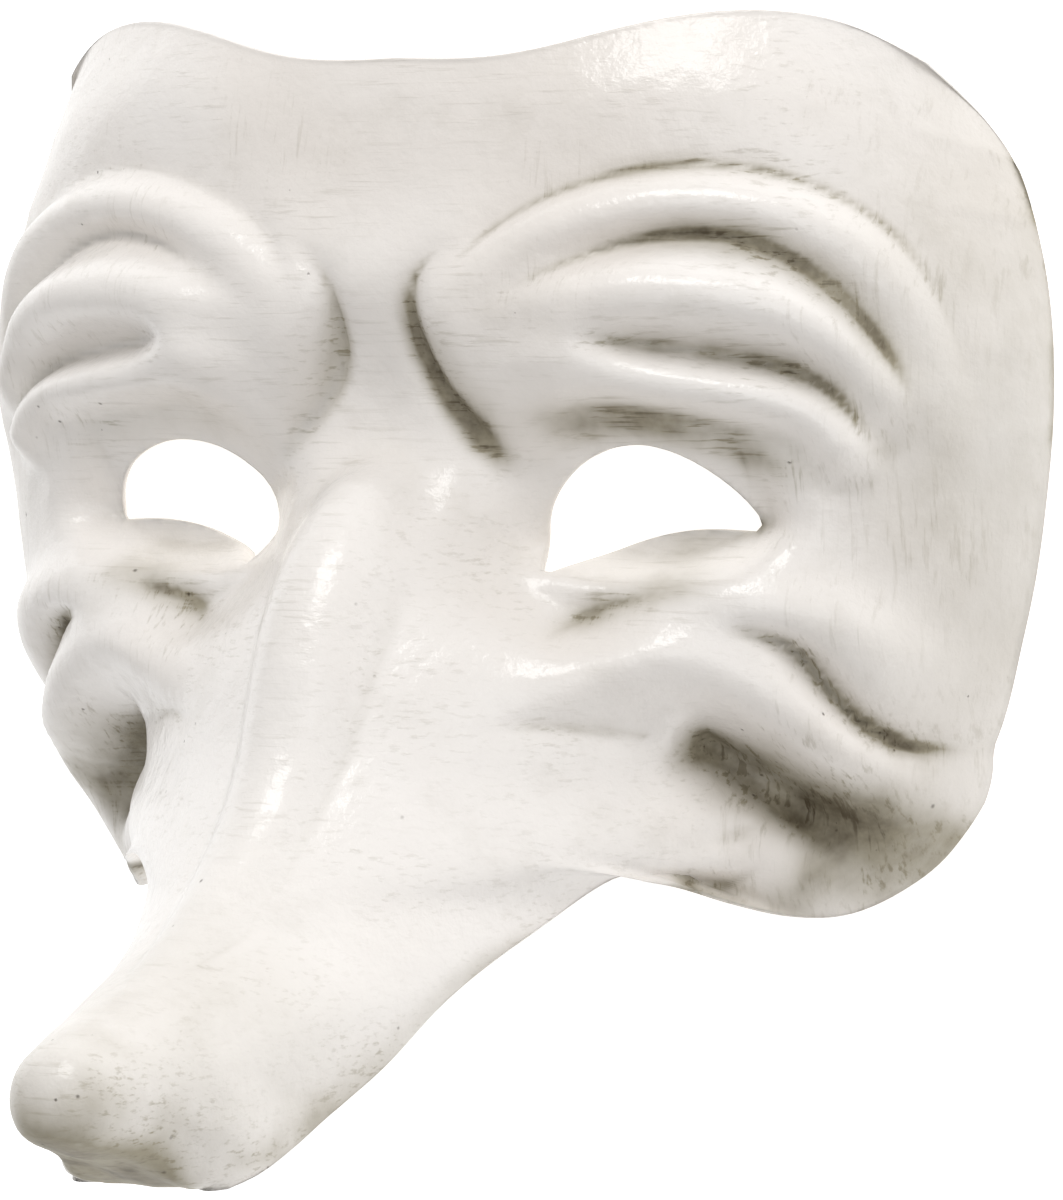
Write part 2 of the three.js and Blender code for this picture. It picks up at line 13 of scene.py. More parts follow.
import bmesh
import bpy
import numpy as np
from mathutils import Matrix, Vector, noise

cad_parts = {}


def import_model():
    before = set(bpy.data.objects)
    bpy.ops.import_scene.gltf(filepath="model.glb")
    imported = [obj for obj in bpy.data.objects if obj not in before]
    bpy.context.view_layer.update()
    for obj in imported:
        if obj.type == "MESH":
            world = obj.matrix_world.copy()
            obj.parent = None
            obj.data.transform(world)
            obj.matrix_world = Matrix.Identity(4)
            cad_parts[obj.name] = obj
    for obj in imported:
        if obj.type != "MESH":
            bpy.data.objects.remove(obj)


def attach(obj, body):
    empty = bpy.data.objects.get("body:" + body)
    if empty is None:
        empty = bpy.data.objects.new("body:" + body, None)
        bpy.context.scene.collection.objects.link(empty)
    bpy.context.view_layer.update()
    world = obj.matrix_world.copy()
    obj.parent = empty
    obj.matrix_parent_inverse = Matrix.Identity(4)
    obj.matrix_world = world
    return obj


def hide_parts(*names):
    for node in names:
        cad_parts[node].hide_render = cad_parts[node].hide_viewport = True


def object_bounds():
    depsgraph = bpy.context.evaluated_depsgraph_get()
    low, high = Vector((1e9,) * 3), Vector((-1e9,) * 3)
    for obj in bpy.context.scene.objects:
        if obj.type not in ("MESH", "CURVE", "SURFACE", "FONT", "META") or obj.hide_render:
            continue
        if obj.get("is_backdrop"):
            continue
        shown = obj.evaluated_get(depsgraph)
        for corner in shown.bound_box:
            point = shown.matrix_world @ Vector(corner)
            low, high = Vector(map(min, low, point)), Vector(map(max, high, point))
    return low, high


LOG = logging.getLogger("mask")
Array = np.ndarray
Wall = dict[bmesh.types.BMVert, tuple[Vector, Vector, Vector]]
Colour = tuple[float, float, float, float]
Span = tuple[float, float]
MM = 0.001


def smooth_step(low: float, high: float, value: Array) -> Array:
    """Rises smoothly from 0 at low to 1 at high.

    Args:
        low: where the rise begins.
        high: where it ends; it may be below low for a fall.
        value: places to read it at.

    Returns:
        The share at each place, 0 to 1.
    """
    u = np.clip((value - low) / (high - low), 0, 1)
    return u * u * (3 - 2 * u)


def smooth_max(a: Array, b: Array, blend: float) -> Array:
    """Takes the larger of two heights and rounds off the joint between them.

    Args:
        a: one height.
        b: the other height.
        blend: how far the rounding reaches.

    Returns:
        The joined height.
    """
    u = np.clip(0.5 + 0.5 * (a - b) / blend, 0, 1)
    return b + (a - b) * u + blend * u * (1 - u)


class Spline:
    """A natural cubic curve through stations, level beyond its ends."""

    def __init__(self, stations: Mapping[float, float]) -> None:
        """Works out how much the curve bends at each station.

        Args:
            stations: the value at each place.
        """
        self.places = np.array(sorted(stations), float)
        self.values = np.array([stations[place] for place in sorted(stations)], float)
        self.spans = np.diff(self.places)
        count = len(self.places)
        system = np.eye(count)
        turns = np.zeros(count)
        slopes = np.diff(self.values) / self.spans
        for i in range(1, count - 1):
            system[i, i - 1] = self.spans[i - 1]
            system[i, i] = 2 * (self.spans[i - 1] + self.spans[i])
            system[i, i + 1] = self.spans[i]
            turns[i] = 6 * (slopes[i] - slopes[i - 1])
        self.bends = np.linalg.solve(system, turns)

    def __call__(self, place: Array) -> Array:
        """Reads the curve.

        Args:
            place: where to read it.

        Returns:
            The value at each place.
        """
        at = np.clip(place, self.places[0], self.places[-1])
        i = np.clip(np.searchsorted(self.places, at) - 1, 0, len(self.spans) - 1)
        span = self.spans[i]
        a = (self.places[i + 1] - at) / span
        b = 1 - a
        curl = ((a**3 - a) * self.bends[i] + (b**3 - b) * self.bends[i + 1]) * span * span
        return a * self.values[i] + b * self.values[i + 1] + curl / 6


def smooth_curve(points: Sequence[Sequence[float]], steps: int) -> Array:
    """Runs a smooth curve through a few chosen points.

    Args:
        points: plan place of each point, with any further values it carries.
        steps: number of equal steps along the curve.

    Returns:
        One row for each of the evenly spaced points.
    """
    chosen = np.array(points, float)
    legs = np.hypot(*np.diff(chosen[:, :2], axis=0).T)
    along = np.concatenate([[0], np.cumsum(legs)])
    places = np.linspace(0, along[-1], steps + 1)
    columns = [Spline(dict(zip(along, column)))(places) for column in chosen.T]
    return np.stack(columns, axis=1)


class PlanCurve:
    """A smooth curve in the plan that can say how far away and how far along it a place is."""

    STEPS = 40

    def __init__(self, points: Sequence[Sequence[float]], reach: float) -> None:
        """Lays the curve.

        Args:
            points: plan places that it runs through.
            reach: distance past which nothing is asked of it.
        """
        self.line = smooth_curve(points, self.STEPS)
        self.reach = reach

    def nearest(self, x: Array, y: Array) -> tuple[Array, Array]:
        """Finds the nearest place on the curve.

        Args:
            x: distances from the midline.
            y: places along the mask.

        Returns:
            Distance to the curve, and how far along it the nearest place is, 0 to 1.
        """
        distance = np.full(x.shape, np.inf)
        along = np.zeros(x.shape)
        low = self.line.min(axis=0) - self.reach
        high = self.line.max(axis=0) + self.reach
        near = (x > low[0]) & (x < high[0]) & (y > low[1]) & (y < high[1])
        best = distance[near]
        share = along[near]
        for i, (start, end) in enumerate(zip(self.line[:-1], self.line[1:])):
            leg = end - start
            u = ((x[near] - start[0]) * leg[0] + (y[near] - start[1]) * leg[1]) / (leg @ leg)
            u = np.clip(u, 0, 1)
            here = np.hypot(x[near] - start[0] - u * leg[0], y[near] - start[1] - u * leg[1])
            closer = here < best
            best = np.where(closer, here, best)
            share = np.where(closer, (i + u) / self.STEPS, share)
        distance[near] = best
        along[near] = share
        return distance, along


@dataclass(frozen=True)
class Fold:
    """A fold of skin: a smooth band in the plan, raised or sunk, that fades out at both ends."""

    name: str
    rise: float
    widths: tuple[float, float]
    roundness: float
    fades: tuple[float, float]
    points: tuple[tuple[float, float], ...]
    reach: ClassVar[float] = 4

    def height(self, x: Array, y: Array) -> Array:
        """Finds how high the fold stands.

        Args:
            x: distances from the midline.
            y: places along the mask.

        Returns:
            Its height over each place, below zero for a crease.
        """
        distance, along = PlanCurve(self.points, self.reach * max(self.widths)).nearest(x, y)
        ends = smooth_step(0, self.fades[0], along) * smooth_step(0, self.fades[1], 1 - along)
        width = self.widths[0] + (self.widths[1] - self.widths[0]) * along
        return self.rise * ends * np.exp(-((distance / width) ** self.roundness))


@dataclass(frozen=True)
class Mound:
    """A soft mound, or a hollow where its rise is below zero."""

    name: str
    x: float
    y: float
    across: float
    along: float
    rise: float

    def height(self, x: Array, y: Array) -> Array:
        """Gives the mound's height over each place."""
        far = ((x - self.x) / self.across) ** 2 + ((y - self.y) / self.along) ** 2
        return self.rise * np.exp(-far)


# Each fold: name, rise, width at both ends, roundness, fades at its ends and its plan places.
FOLDS = (
    Fold("brow ridge", 1.2, (7.0, 7.0), 2, (0.3, 0.3), ((14, 52), (30, 57), (48, 58), (62, 51), (73, 37))),
    Fold("brow crease, upper", -1.8, (2.0, 2.0), 1.2, (0.12, 0.25),
         ((10, 30), (17, 38.5), (30, 45.5), (46, 48.2), (60, 45.2), (71, 37), (76.5, 24), (78.8, 10),
          (79.2, 0))),
    Fold("brow roll, upper", 3.0, (4.0, 4.6), 2.4, (0.2, 0.2),
         ((13, 30), (20, 36.4), (29, 41), (39, 43.2), (51, 43), (62, 39), (70, 31), (75, 19), (76.4, 9),
          (76.6, 0))),
    Fold("brow crease, middle", -3.8, (2.0, 3.2), 1.3, (0.4, 0.25),
         ((15, 28), (23, 31.8), (30, 35), (38, 37.8), (49, 38.8), (59, 35.4), (66, 29), (70.5, 20),
          (72.7, 9))),
    Fold("brow roll, middle", 5.0, (7.0, 3.8), 2.4, (0.25, 0.15),
         ((16, 24), (22, 26), (29, 28.6), (36, 30.6), (45, 31), (55, 29.6), (62.5, 25.6), (67.5, 19),
          (70.4, 9))),
    Fold("brow crease, lower", -4.0, (2.2, 2.8), 1.3, (0.25, 0.4),
         ((30, 25.2), (41, 23.8), (56, 21.3), (62, 18.8), (66.5, 12), (68.4, 4))),
    Fold("brow roll, lower", 4.8, (5.4, 3.4), 2.4, (0.25, 0.12),
         ((16, 16.6), (22, 18.4), (30, 20), (38, 19.6), (50, 18), (59, 16), (64, 10.5), (65.4, 4))),
    Fold("lid crease", -1.6, (1.8, 2.2), 1.3, (0.3, 0.4), ((26, 16), (38, 14.6), (51, 12.6), (58, 10.4))),
    Fold("under-eye crease", -1.2, (2.0, 2.0), 1.3, (0.3, 0.4),
         ((26, -19), (29, -14), (35.6, -10.8), (44, -8.8), (52, -8))),
    Fold("cheek roll, upper", 4.6, (4.6, 7.0), 2.4, (0.45, 0.3),
         ((30, -19), (36, -15.6), (42, -13), (51, -11.6), (59, -13.2), (65.5, -17.4), (69.6, -23),
          (72.6, -29), (74, -34))),
    Fold("cheek crease", -4.8, (1.3, 2.0), 1.2, (0.34, 0.3),
         ((47.5, -14), (53, -14.7), (57.3, -16.7), (59.8, -19.6), (62, -23.4), (65, -27.6), (68, -30),
          (71.6, -31.4), (74.5, -30.6), (77, -28.6))),
    Fold("cheek roll, lower", 5.6, (5.0, 5.2), 2.3, (0.3, 0.06),
         ((22.6, -25.2), (31, -21.4), (38.4, -20), (46.8, -20.2), (53.1, -22.8), (57.6, -27.6),
          (61.4, -32.6), (65.4, -36.4), (70, -38), (77, -37))),
    Fold("muzzle line", -1.0, (1.6, 2.0), 1.3, (0.3, 0.2),
         ((22, -28), (30, -27.4), (36, -28.4), (43, -29.6))),
    Fold("cheek pocket", -9.5, (3.0, 6.4), 1.7, (0.12, 0.36),
         ((41, -28.8), (49, -33.4), (56, -37.8), (61.5, -41.6), (68, -46))),
    Fold("notch crease", -1.8, (2.0, 2.6), 1.8, (0.6, 0.4),
         ((41, -46), (44, -44.6), (48, -42.8), (52, -40.6))),
    Fold("bridge crease", -3.2, (1.2, 3.0), 1.4, (0.5, 0.25),
         ((14.5, 41), (10.8, 37), (7.4, 33.4), (6.2, 29.7), (6.4, 24), (8.8, 18.2), (12.4, 13.8),
          (16.2, 9.6), (19.5, 4.5))),
)
MOUNDS = (
    Mound("glabella", x=0, y=33, across=8, along=7, rise=1.5),
    Mound("bridge hollow", x=0, y=17, across=10, along=8, rise=-2.0),
    Mound("inner brow", x=14.5, y=25, across=7.5, along=13, rise=3.4),
    Mound("inner cheek", x=37, y=-17, across=9, along=4.5, rise=1.8),
)


class PlainShell:
    """The shell of forehead and cheeks without folds: its width, depth and roundness by Y."""

    HALF_WIDTH = Spline({
        -62: 63, -43: 70.3, -30: 74.8, -15: 79, 0: 81.6, 15: 82.7, 30: 82.2, 40: 80.1, 50: 76.6,
        60: 74.5, 72: 70.5,
    })
    DEPTH = Spline({-62: 30, -35: 36, -10: 39.5, 8: 39, 20: 41, 31: 43.5, 45: 41, 58: 38, 72: 33})
    ROUNDNESS = Spline({-62: 3, -20: 3, 20: 3, 45: 2.7, 72: 2.3})
    FULLNESS = Spline({-62: 0.55, -20: 0.55, 20: 0.55, 45: 0.6, 72: 0.68})

    def height(self, x: Array, y: Array) -> tuple[Array, Array]:
        """Gives the shell's height and how steeply it falls towards the side.

        Args:
            x: distances from the midline.
            y: places along the mask.

        Returns:
            Heights and falls.
        """
        width = self.HALF_WIDTH(y)
        roundness = self.ROUNDNESS(y)
        fullness = self.FULLNESS(y)
        depth = self.DEPTH(y)
        out = np.clip(x / width, 0, 1)
        left = np.clip(1 - out**roundness, 0, 1)
        steepness = depth * fullness * roundness / width
        fall = steepness * out ** (roundness - 1) * np.maximum(left, 1e-7) ** (fullness - 1)
        return depth * left**fullness, fall


@dataclass(frozen=True)
class EyeSocket:
    """The tilted, slightly hollow ground that an eye hole is cut through."""

    x: float = 36
    y: float = 2.5
    across: float = 24
    up: float = 13.5
    down: float = 10.5
    level: float = 26.4
    level_y: float = -1
    tilt: float = 0.66
    lid_tilt: float = 0.75
    lid_blend: float = 2.5
    outer_curl: float = 0.036
    outer_span: tuple[float, float] = (44, 51)
    inner_tilt: float = 0.25
    inner_span: tuple[float, float] = (10, 30)
    temple_tilt: float = 0.3
    temple_span: tuple[float, float] = (53, 73)
    edge: tuple[float, float] = (0.64, 1.18)

    def height(self, x: Array, y: Array) -> Array:
        """Finds the height of the socket's ground.

        Args:
            x: distances from the midline.
            y: places along the mask.

        Returns:
            The height at each place.
        """
        outer = np.clip(x, *self.outer_span) - self.outer_span[0]
        inner = self.inner_span[1] - np.clip(x, *self.inner_span)
        temple = np.clip(x, *self.temple_span) - self.temple_span[0]
        above = y - self.level_y
        ground = self.level + smooth_max(self.tilt * above, -self.lid_tilt * above, self.lid_blend)
        return ground - self.outer_curl * outer**2 + self.inner_tilt * inner + self.temple_tilt * temple

    def share(self, x: Array, y: Array) -> Array:
        """Finds how fully places belong to the socket.

        Args:
            x: distances from the midline.
            y: places along the mask.

        Returns:
            A share from 0 to 1 for each place.
        """
        tall = np.where(y > self.y, self.up, self.down)
        out = np.hypot((x - self.x) / self.across, (y - self.y) / tall)
        return 1 - smooth_step(*self.edge, out)


class LongNose:
    """The drooping nose: a roll along its ridge, a wing each side of its tip and flanks between."""

    RIDGE_STEPS = 160
    WING_STEPS = 30
    # Ridge stations: y, z and radius.
    RIDGE = (
        (-1.5, 44.5, 8.0), (-6, 49, 8.6), (-12, 53.6, 8.9), (-25, 60, 8.4), (-34.8, 64.7, 7.5),
        (-44.5, 72.5, 6.8), (-52.5, 81.6, 6.4), (-59.2, 90.9, 6.6), (-64.5, 100, 7.2),
        (-68.6, 108.5, 7.9), (-71.6, 116, 8.3), (-72.3, 119.3, 8.3),
    )
    # Wing stations: x, y, z and radius.
    WING = (
        (9.4, -70, 101, 5.0), (10.0, -75, 105, 5.0), (10.2, -78.5, 106.5, 4.8),
        (10.2, -80.8, 106, 4.6),
    )
    INNER_X = Spline({
        16: 12, 0: 11.3, -13: 10.5, -24: 9.5, -38: 8.7, -50: 8, -62: 8.2, -70: 8.8, -86: 9.5,
    })
    INNER_Z = Spline({
        26: 18, 16: 30, 9: 37, 3: 42.5, -3: 47.5, -13: 54.5, -24: 60.8, -31: 64.2, -38: 69.4, -49.5: 81,
        -56: 89.5, -62: 98, -70: 108, -76: 111, -80: 109.5, -84: 105, -86: 101,
    })
    OUTER_X = Spline({
        16: 22, 0: 22, -6: 23, -12: 28.5, -18: 35, -24: 39, -36: 41, -47.6: 40, -49.5: 36,
        -52.5: 32.3, -56: 29.8, -64.5: 24, -75.5: 18.5, -80: 16, -83.5: 13.8, -85.6: 11.5,
    })
    OUTER_Z = Spline({
        26: 14, 16: 25, 6: 31, -6: 32, -12: 36, -24: 38, -36: 37.2, -47.6: 40, -49.5: 43.3, -52.5: 48.5,
        -56: 54.5, -64.5: 67, -75.5: 81.5, -80: 88.5, -83.5: 95.5, -85.6: 100,
    })
    FLANK_STRAIGHT = 0.68
    FLANK_RISE_END = -3.0
    FLANK_BLEND = 4
    RIDGE_BLEND = 5
    WING_BLEND = 6
    # Share of its radius past which a ball of the ridge or the wing goes on down as a cone.
    RIDGE_CAP = 0.95
    WING_CAP = 0.99
    BALL_REACH = 3
    FAR_BELOW = -99.0
    MUZZLE_EDGE = 44
    MUZZLE_DROP = 0.06
    HOLLOW_DEPTH = 6
    HOLLOW_HALF_WIDTH = 5.5
    HOLLOW_SPAN = (-75.5, -82)

    def __init__(self) -> None:
        """Lays the ball centres of the ridge and the wings."""
        ridge = smooth_curve(self.RIDGE, self.RIDGE_STEPS)
        self.ridge = np.column_stack([np.zeros(len(ridge)), ridge])
        self.wing = smooth_curve(self.WING, self.WING_STEPS)

    @staticmethod
    def balls(x: Array, y: Array, line: Array, share: float) -> Array:
        """Gives the height over a row of balls.

        Args:
            x: distances from the midline.
            y: places along the mask.
            line: x, y, z and radius of each ball.
            share: share of its radius past which a ball goes on down as a cone.

        Returns:
            The heights, far below everything where no ball is near.
        """
        best = np.full(x.shape, LongNose.FAR_BELOW)
        reach = LongNose.BALL_REACH * line[:, 3].max()
        near = (np.abs(x - line[:, 0].mean()) < reach) & (y < line[:, 1].max() + reach)
        edge = math.sqrt(1 - share * share)
        height = best[near]
        for ball_x, ball_y, ball_z, radius in line:
            out = np.hypot(x[near] - ball_x, y[near] - ball_y) / radius
            cap = np.sqrt(1 - np.minimum(out, share) ** 2)
            cap = np.where(out < share, cap, edge - share / edge * (out - share))
            height = np.maximum(height, ball_z + radius * cap)
        best[near] = height
        return best

    def flank(self, x: Array, y: Array) -> Array:
        """Finds the height of the side of the nose, from its ridge out to the muzzle.

        Args:
            x: distances from the midline.
            y: places along the mask.

        Returns:
            The height at each place.
        """
        inner = self.INNER_X(y)
        reach = self.OUTER_X(y) - inner
        fall = (self.INNER_Z(y) - self.OUTER_Z(y)) / reach
        out = smooth_max(x - inner, np.full(x.shape, self.FLANK_RISE_END), self.FLANK_BLEND)
        bow = (1 - self.FLANK_STRAIGHT) * fall * np.maximum(out, 0) ** 2 / reach
        return self.INNER_Z(y) - self.FLANK_STRAIGHT * fall * out - bow

    def height(self, x: Array, y: Array) -> Array:
        """Finds the height of the whole nose.

        Args:
            x: distances from the midline.
            y: places along the mask.

        Returns:
            The height at each place.
        """
        ridge = self.balls(x, y, self.ridge, self.RIDGE_CAP)
        wing = self.balls(x, y, self.wing, self.WING_CAP)
        side = smooth_max(ridge, self.flank(x, y), self.RIDGE_BLEND)
        nose = smooth_max(side, wing, self.WING_BLEND)
        return nose - self.MUZZLE_DROP * np.maximum(x - self.MUZZLE_EDGE, 0) ** 2

    def tip_hollow(self, x: Array, y: Array) -> Array:
        """Gives the depth of the hollow under the tip, between the wings."""
        across = np.exp(-((x / self.HOLLOW_HALF_WIDTH) ** 4))
        return self.HOLLOW_DEPTH * across * smooth_step(*self.HOLLOW_SPAN, y)


class MaskForm:
    """The whole outer surface over the plan, and its slope."""

    NOSE_BLEND = 5.0
    FOLD_RIM_LOSS = 0.8
    FOLD_FADE = (0.8, 0.99)
    SLOPE_STEP = 0.4
    PLACES_AROUND = 8

    def __init__(self) -> None:
        """Brings the parts of the form together."""
        self.plain = PlainShell()
        self.socket = EyeSocket()
        self.nose = LongNose()

    def relief(self, x: Array, y: Array) -> Array:
        """Gives the height of all folds and mounds together."""
        return sum(part.height(x, y) for part in (*FOLDS, *MOUNDS))

    def place(self, x: Array, y: Array, fold_share: float = 1.0) -> Array:
        """Finds the outer surface over plan places.

        Args:
            x: distances from the midline; below zero on the other side.
            y: places along the mask.
            fold_share: share of their height that the folds have.

        Returns:
            One row of x, y and z for each place.
        """
        out = np.abs(x)
        plain, fall = self.plain.height(out, y)
        length = np.hypot(1, fall)
        edge = out / self.plain.HALF_WIDTH(y)
        fade = 1 - self.FOLD_RIM_LOSS * smooth_step(*self.FOLD_FADE, edge)
        socket = self.socket.share(out, y)
        rise = self.relief(out, y) * fade * fold_share * (1 - socket)
        face = plain * (1 - socket) + self.socket.height(out, y) * socket
        nose = self.nose.height(out, y)
        nose_share = np.clip(0.5 + 0.5 * (nose - face) / self.NOSE_BLEND, 0, 1)
        upwards = rise * (nose_share + (1 - nose_share) / length)
        sideways = rise * fall / length * (1 - nose_share)
        z = smooth_max(face, nose, self.NOSE_BLEND) + upwards - self.nose.tip_hollow(out, y)
        return np.stack([np.sign(x) * (out + sideways), y, z], axis=-1)

    def hollowness(self, x: Array, y: Array, reach: float) -> Array:
        """Measures how far a place lies below those around it.

        Args:
            x: distances from the midline.
            y: places along the mask.
            reach: distance to the places around it.

        Returns:
            Depth as a share of the reach, below zero on a crest.
        """
        here = self.place(x, y)
        out = self.normal(x, y, 1)
        turns = np.arange(self.PLACES_AROUND) * math.tau / self.PLACES_AROUND
        around = [self.place(x + reach * math.cos(turn), y + reach * math.sin(turn)) for turn in turns]
        depth = ((sum(around) / len(around) - here) * out).sum(axis=-1)
        return depth / reach

    def normal(self, x: Array, y: Array, fold_share: float) -> Array:
        """Finds the direction straight out of the surface over plan places.

        Args:
            x: distances from the midline; below zero on the other side.
            y: places along the mask.
            fold_share: share of their height that the folds have.

        Returns:
            One direction of length 1 for each place.
        """
        step = self.SLOPE_STEP
        along_x = self.place(x + step, y, fold_share) - self.place(x - step, y, fold_share)
        along_y = self.place(x, y + step, fold_share) - self.place(x, y - step, fold_share)
        normal = np.cross(along_x, along_y)
        return normal / np.linalg.norm(normal, axis=-1, keepdims=True)


class MaskPlan:
    """The plan as a fan of rows from the midline to the rim."""

    CORNER = (68.5, 62.4)
    DIP_Y = 63.4
    RESTING_ROWS = (0.14, 0.575)
    # Share of the way across that the columns are crowded towards the corner, and where the bow ends.
    TOP_CROWDING = 0.6
    TOP_BOW_END = 0.3
    MOST_CROWDING = 0.8
    # Each row: t, y on the midline, rim x, rim y, rim z, bend of the row and crowding at the rim.
    ROWS = (
        (0.00, 63.4, 68.5, 62.4, 11.5, 1, 0.6),
        (0.08, 53.5, 75.2, 52.5, 2.0, 1, 0.75),
        (0.16, 42.0, 79.5, 42.0, 0, 1, 0.8),
        (0.24, 30.0, 82.2, 29.5, 0, 1, 0.8),
        (0.31, 20.0, 82.8, 17.0, 0, 1, 0.8),
        (0.375, 11.0, 82.0, 5.0, 0, 1, 0.8),
        (0.43, 4.0, 80.3, -7.5, 0, 1, 0.8),
        (0.48, -3.0, 77.9, -18.0, 0, 1, 0.8),
        (0.525, -9.5, 75.0, -28.5, 0, 1, 0.8),
        (0.565, -15.5, 71.9, -38.0, 0, 1, 0.7),
        (0.60, -21.0, 68.4, -46.0, 2.0, 1, 0.6),
        (0.635, -26.0, 63.0, -51.6, 6.5, 1.15, 0.45),
        (0.67, -31.0, 56.2, -54.8, 14.0, 1.5, 0.3),
        (0.70, -36.0, 50.2, -53.4, 23.5, 2.2, 0.2),
        (0.73, -41.5, 45.0, -50.0, 34.0, 2.8, 0.1),
        (0.755, -46.0, 40.0, -47.6, 40.0, 2.5, 0),
        (0.79, -51.5, 34.0, -51.0, 46.0, 1, 0),
        (0.83, -58.0, 28.7, -57.5, 57.0, 1, 0),
        (0.87, -64.5, 24.1, -64.4, 67.0, 1, 0),
        (0.91, -71.0, 21.0, -71.2, 75.1, 1, 0),
        (0.95, -77.5, 17.3, -77.6, 84.7, 1, 0),
        (0.98, -82.2, 15.2, -82.1, 92.8, 1, 0),
        (0.99, -84.2, 14.0, -83.8, 96.8, 1, 0),
        (1.00, -85.8, 11.6, -85.2, 100.4, 1, 0),
    )
    TOP_EDGE = Spline({
        0: 63.4, 10: 63.2, 20: 64.2, 30: 66.6, 40: 68.8, 48: 69.5, 54.5: 69, 60.5: 67.3, 66: 64.2,
        69: 62,
    })

    def __init__(self) -> None:
        """Lays a smooth curve through each column of the row table."""
        self.values = [Spline({row[0]: row[k] for row in self.ROWS}) for k in range(1, 7)]

    def place(self, s: Array, t: Array) -> tuple[Array, Array, Array]:
        """Finds plan places.

        Args:
            s: share of the way along its row, from the midline to the rim.
            t: which row, 0 at the top edge and 1 under the nose tip.

        Returns:
            Distance from the midline, place along the mask, and height of the row's rim.
        """
        middle_y, rim_x, rim_y, rim_z, bend, crowding = (value(t) for value in self.values)
        crowd = np.clip(crowding, 0, self.MOST_CROWDING)
        ease = np.sin(s * math.pi / 2)
        out = (1 - crowd) * s + crowd * ease
        chord_x = self.CORNER[0] * ((1 - self.TOP_CROWDING) * s + self.TOP_CROWDING * ease)
        chord_y = self.DIP_Y + (self.CORNER[1] - self.DIP_Y) * chord_x / self.CORNER[0]
        bow = (self.TOP_EDGE(chord_x) - chord_y) * (1 - smooth_step(0, self.TOP_BOW_END, t))
        resting = (t > self.RESTING_ROWS[0]) & (t < self.RESTING_ROWS[1])
        y = middle_y + (rim_y - middle_y) * np.maximum(out, 1e-9) ** np.maximum(bend, 1) + bow
        return rim_x * out, y, np.where(resting, 0.0, np.maximum(rim_z, 0))


@dataclass(frozen=True)
class EyeHole:
    """A half-moon hole with a bowed lower lid and a corner at each end."""

    inner: tuple[float, float] = (23.6, -7.2)
    outer: tuple[float, float] = (50.9, -1.3)
    top: tuple[float, float] = (36.5, 9.9)
    lid_bow: float = 2.65
    inner_roundness: float = 2.4
    inner_bulge: float = 2.6
    outer_roundness: float = 1.75
    middle_y: float = 1.5
    steps: int = 60

    def outline(self) -> Array:
        """Draws the outline along the lower lid and back over the upper one.

        Returns:
            One plan place for each point of the closed outline.
        """
        u = np.arange(self.steps) / self.steps
        lower_x = self.inner[0] + (self.outer[0] - self.inner[0]) * u
        lower_y = self.inner[1] + (self.outer[1] - self.inner[1]) * u
        lower = np.stack([lower_x, lower_y + self.lid_bow * np.sin(math.pi * u)], axis=1)
        sides = [lower]
        for corner, roundness, bulge, share in (
            (self.outer, self.outer_roundness, 0, np.cos(u * math.pi / 2)),
            (self.inner, self.inner_roundness, self.inner_bulge, np.sin(u * math.pi / 2)),
        ):
            arch = np.maximum(1 - share**roundness, 0) ** (1 / roundness)
            x = self.top[0] + (corner[0] - self.top[0]) * share - bulge * np.sin(math.pi * arch)
            y = corner[1] + (self.top[1] - corner[1]) * arch
            sides.append(np.stack([x, y], axis=1))
        return np.concatenate(sides)

    def measure(self, x: Array, y: Array) -> tuple[Array, Array]:
        """Measures places against the outline.

        Args:
            x: distances from the midline.
            y: places along the mask.

        Returns:
            Distance from the outline, below zero inside it, and the nearest place on it.
        """
        line = self.outline()
        inside = np.zeros(x.shape, bool)
        distance = np.full(x.shape, np.inf)
        nearest = np.zeros((*x.shape, 2))
        for start, end in zip(line, np.roll(line, -1, axis=0)):
            leg = end - start
            u = ((x - start[0]) * leg[0] + (y - start[1]) * leg[1]) / (leg @ leg)
            foot = start + np.clip(u, 0, 1)[..., None] * leg
            here = np.hypot(x - foot[..., 0], y - foot[..., 1])
            nearest = np.where((here < distance)[..., None], foot, nearest)
            distance = np.minimum(here, distance)
            crosses = (start[1] > y) != (end[1] > y)
            if leg[1]:
                inside ^= crosses & (x < start[0] + leg[0] * (y - start[1]) / leg[1])
        return np.where(inside, -distance, distance), nearest


class Side(Enum):
    """Which face of the shell a finish is for, and its material's number."""

    OUTER = 0
    INNER = 1


@dataclass(frozen=True)
class WashAndShadeBand:
    """A band of antiquing wash left in a crease; some bands also paint the shade under an overhang."""

    strength: float
    width: float
    fades: tuple[float, float]
    points: tuple[tuple[float, float], ...]
    reach: ClassVar[float] = 3

    def share(self, x: Array, y: Array) -> Array:
        """Finds how much wash is left.

        Args:
            x: distances from the midline.
            y: places along the mask.

        Returns:
            A share from 0 to 1 for each place.
        """
        distance, along = PlanCurve(self.points, self.reach * self.width).nearest(x, y)
        ends = smooth_step(0, self.fades[0], along) * smooth_step(0, self.fades[1], 1 - along)
        return self.strength * ends * np.exp(-((distance / self.width) ** 2))
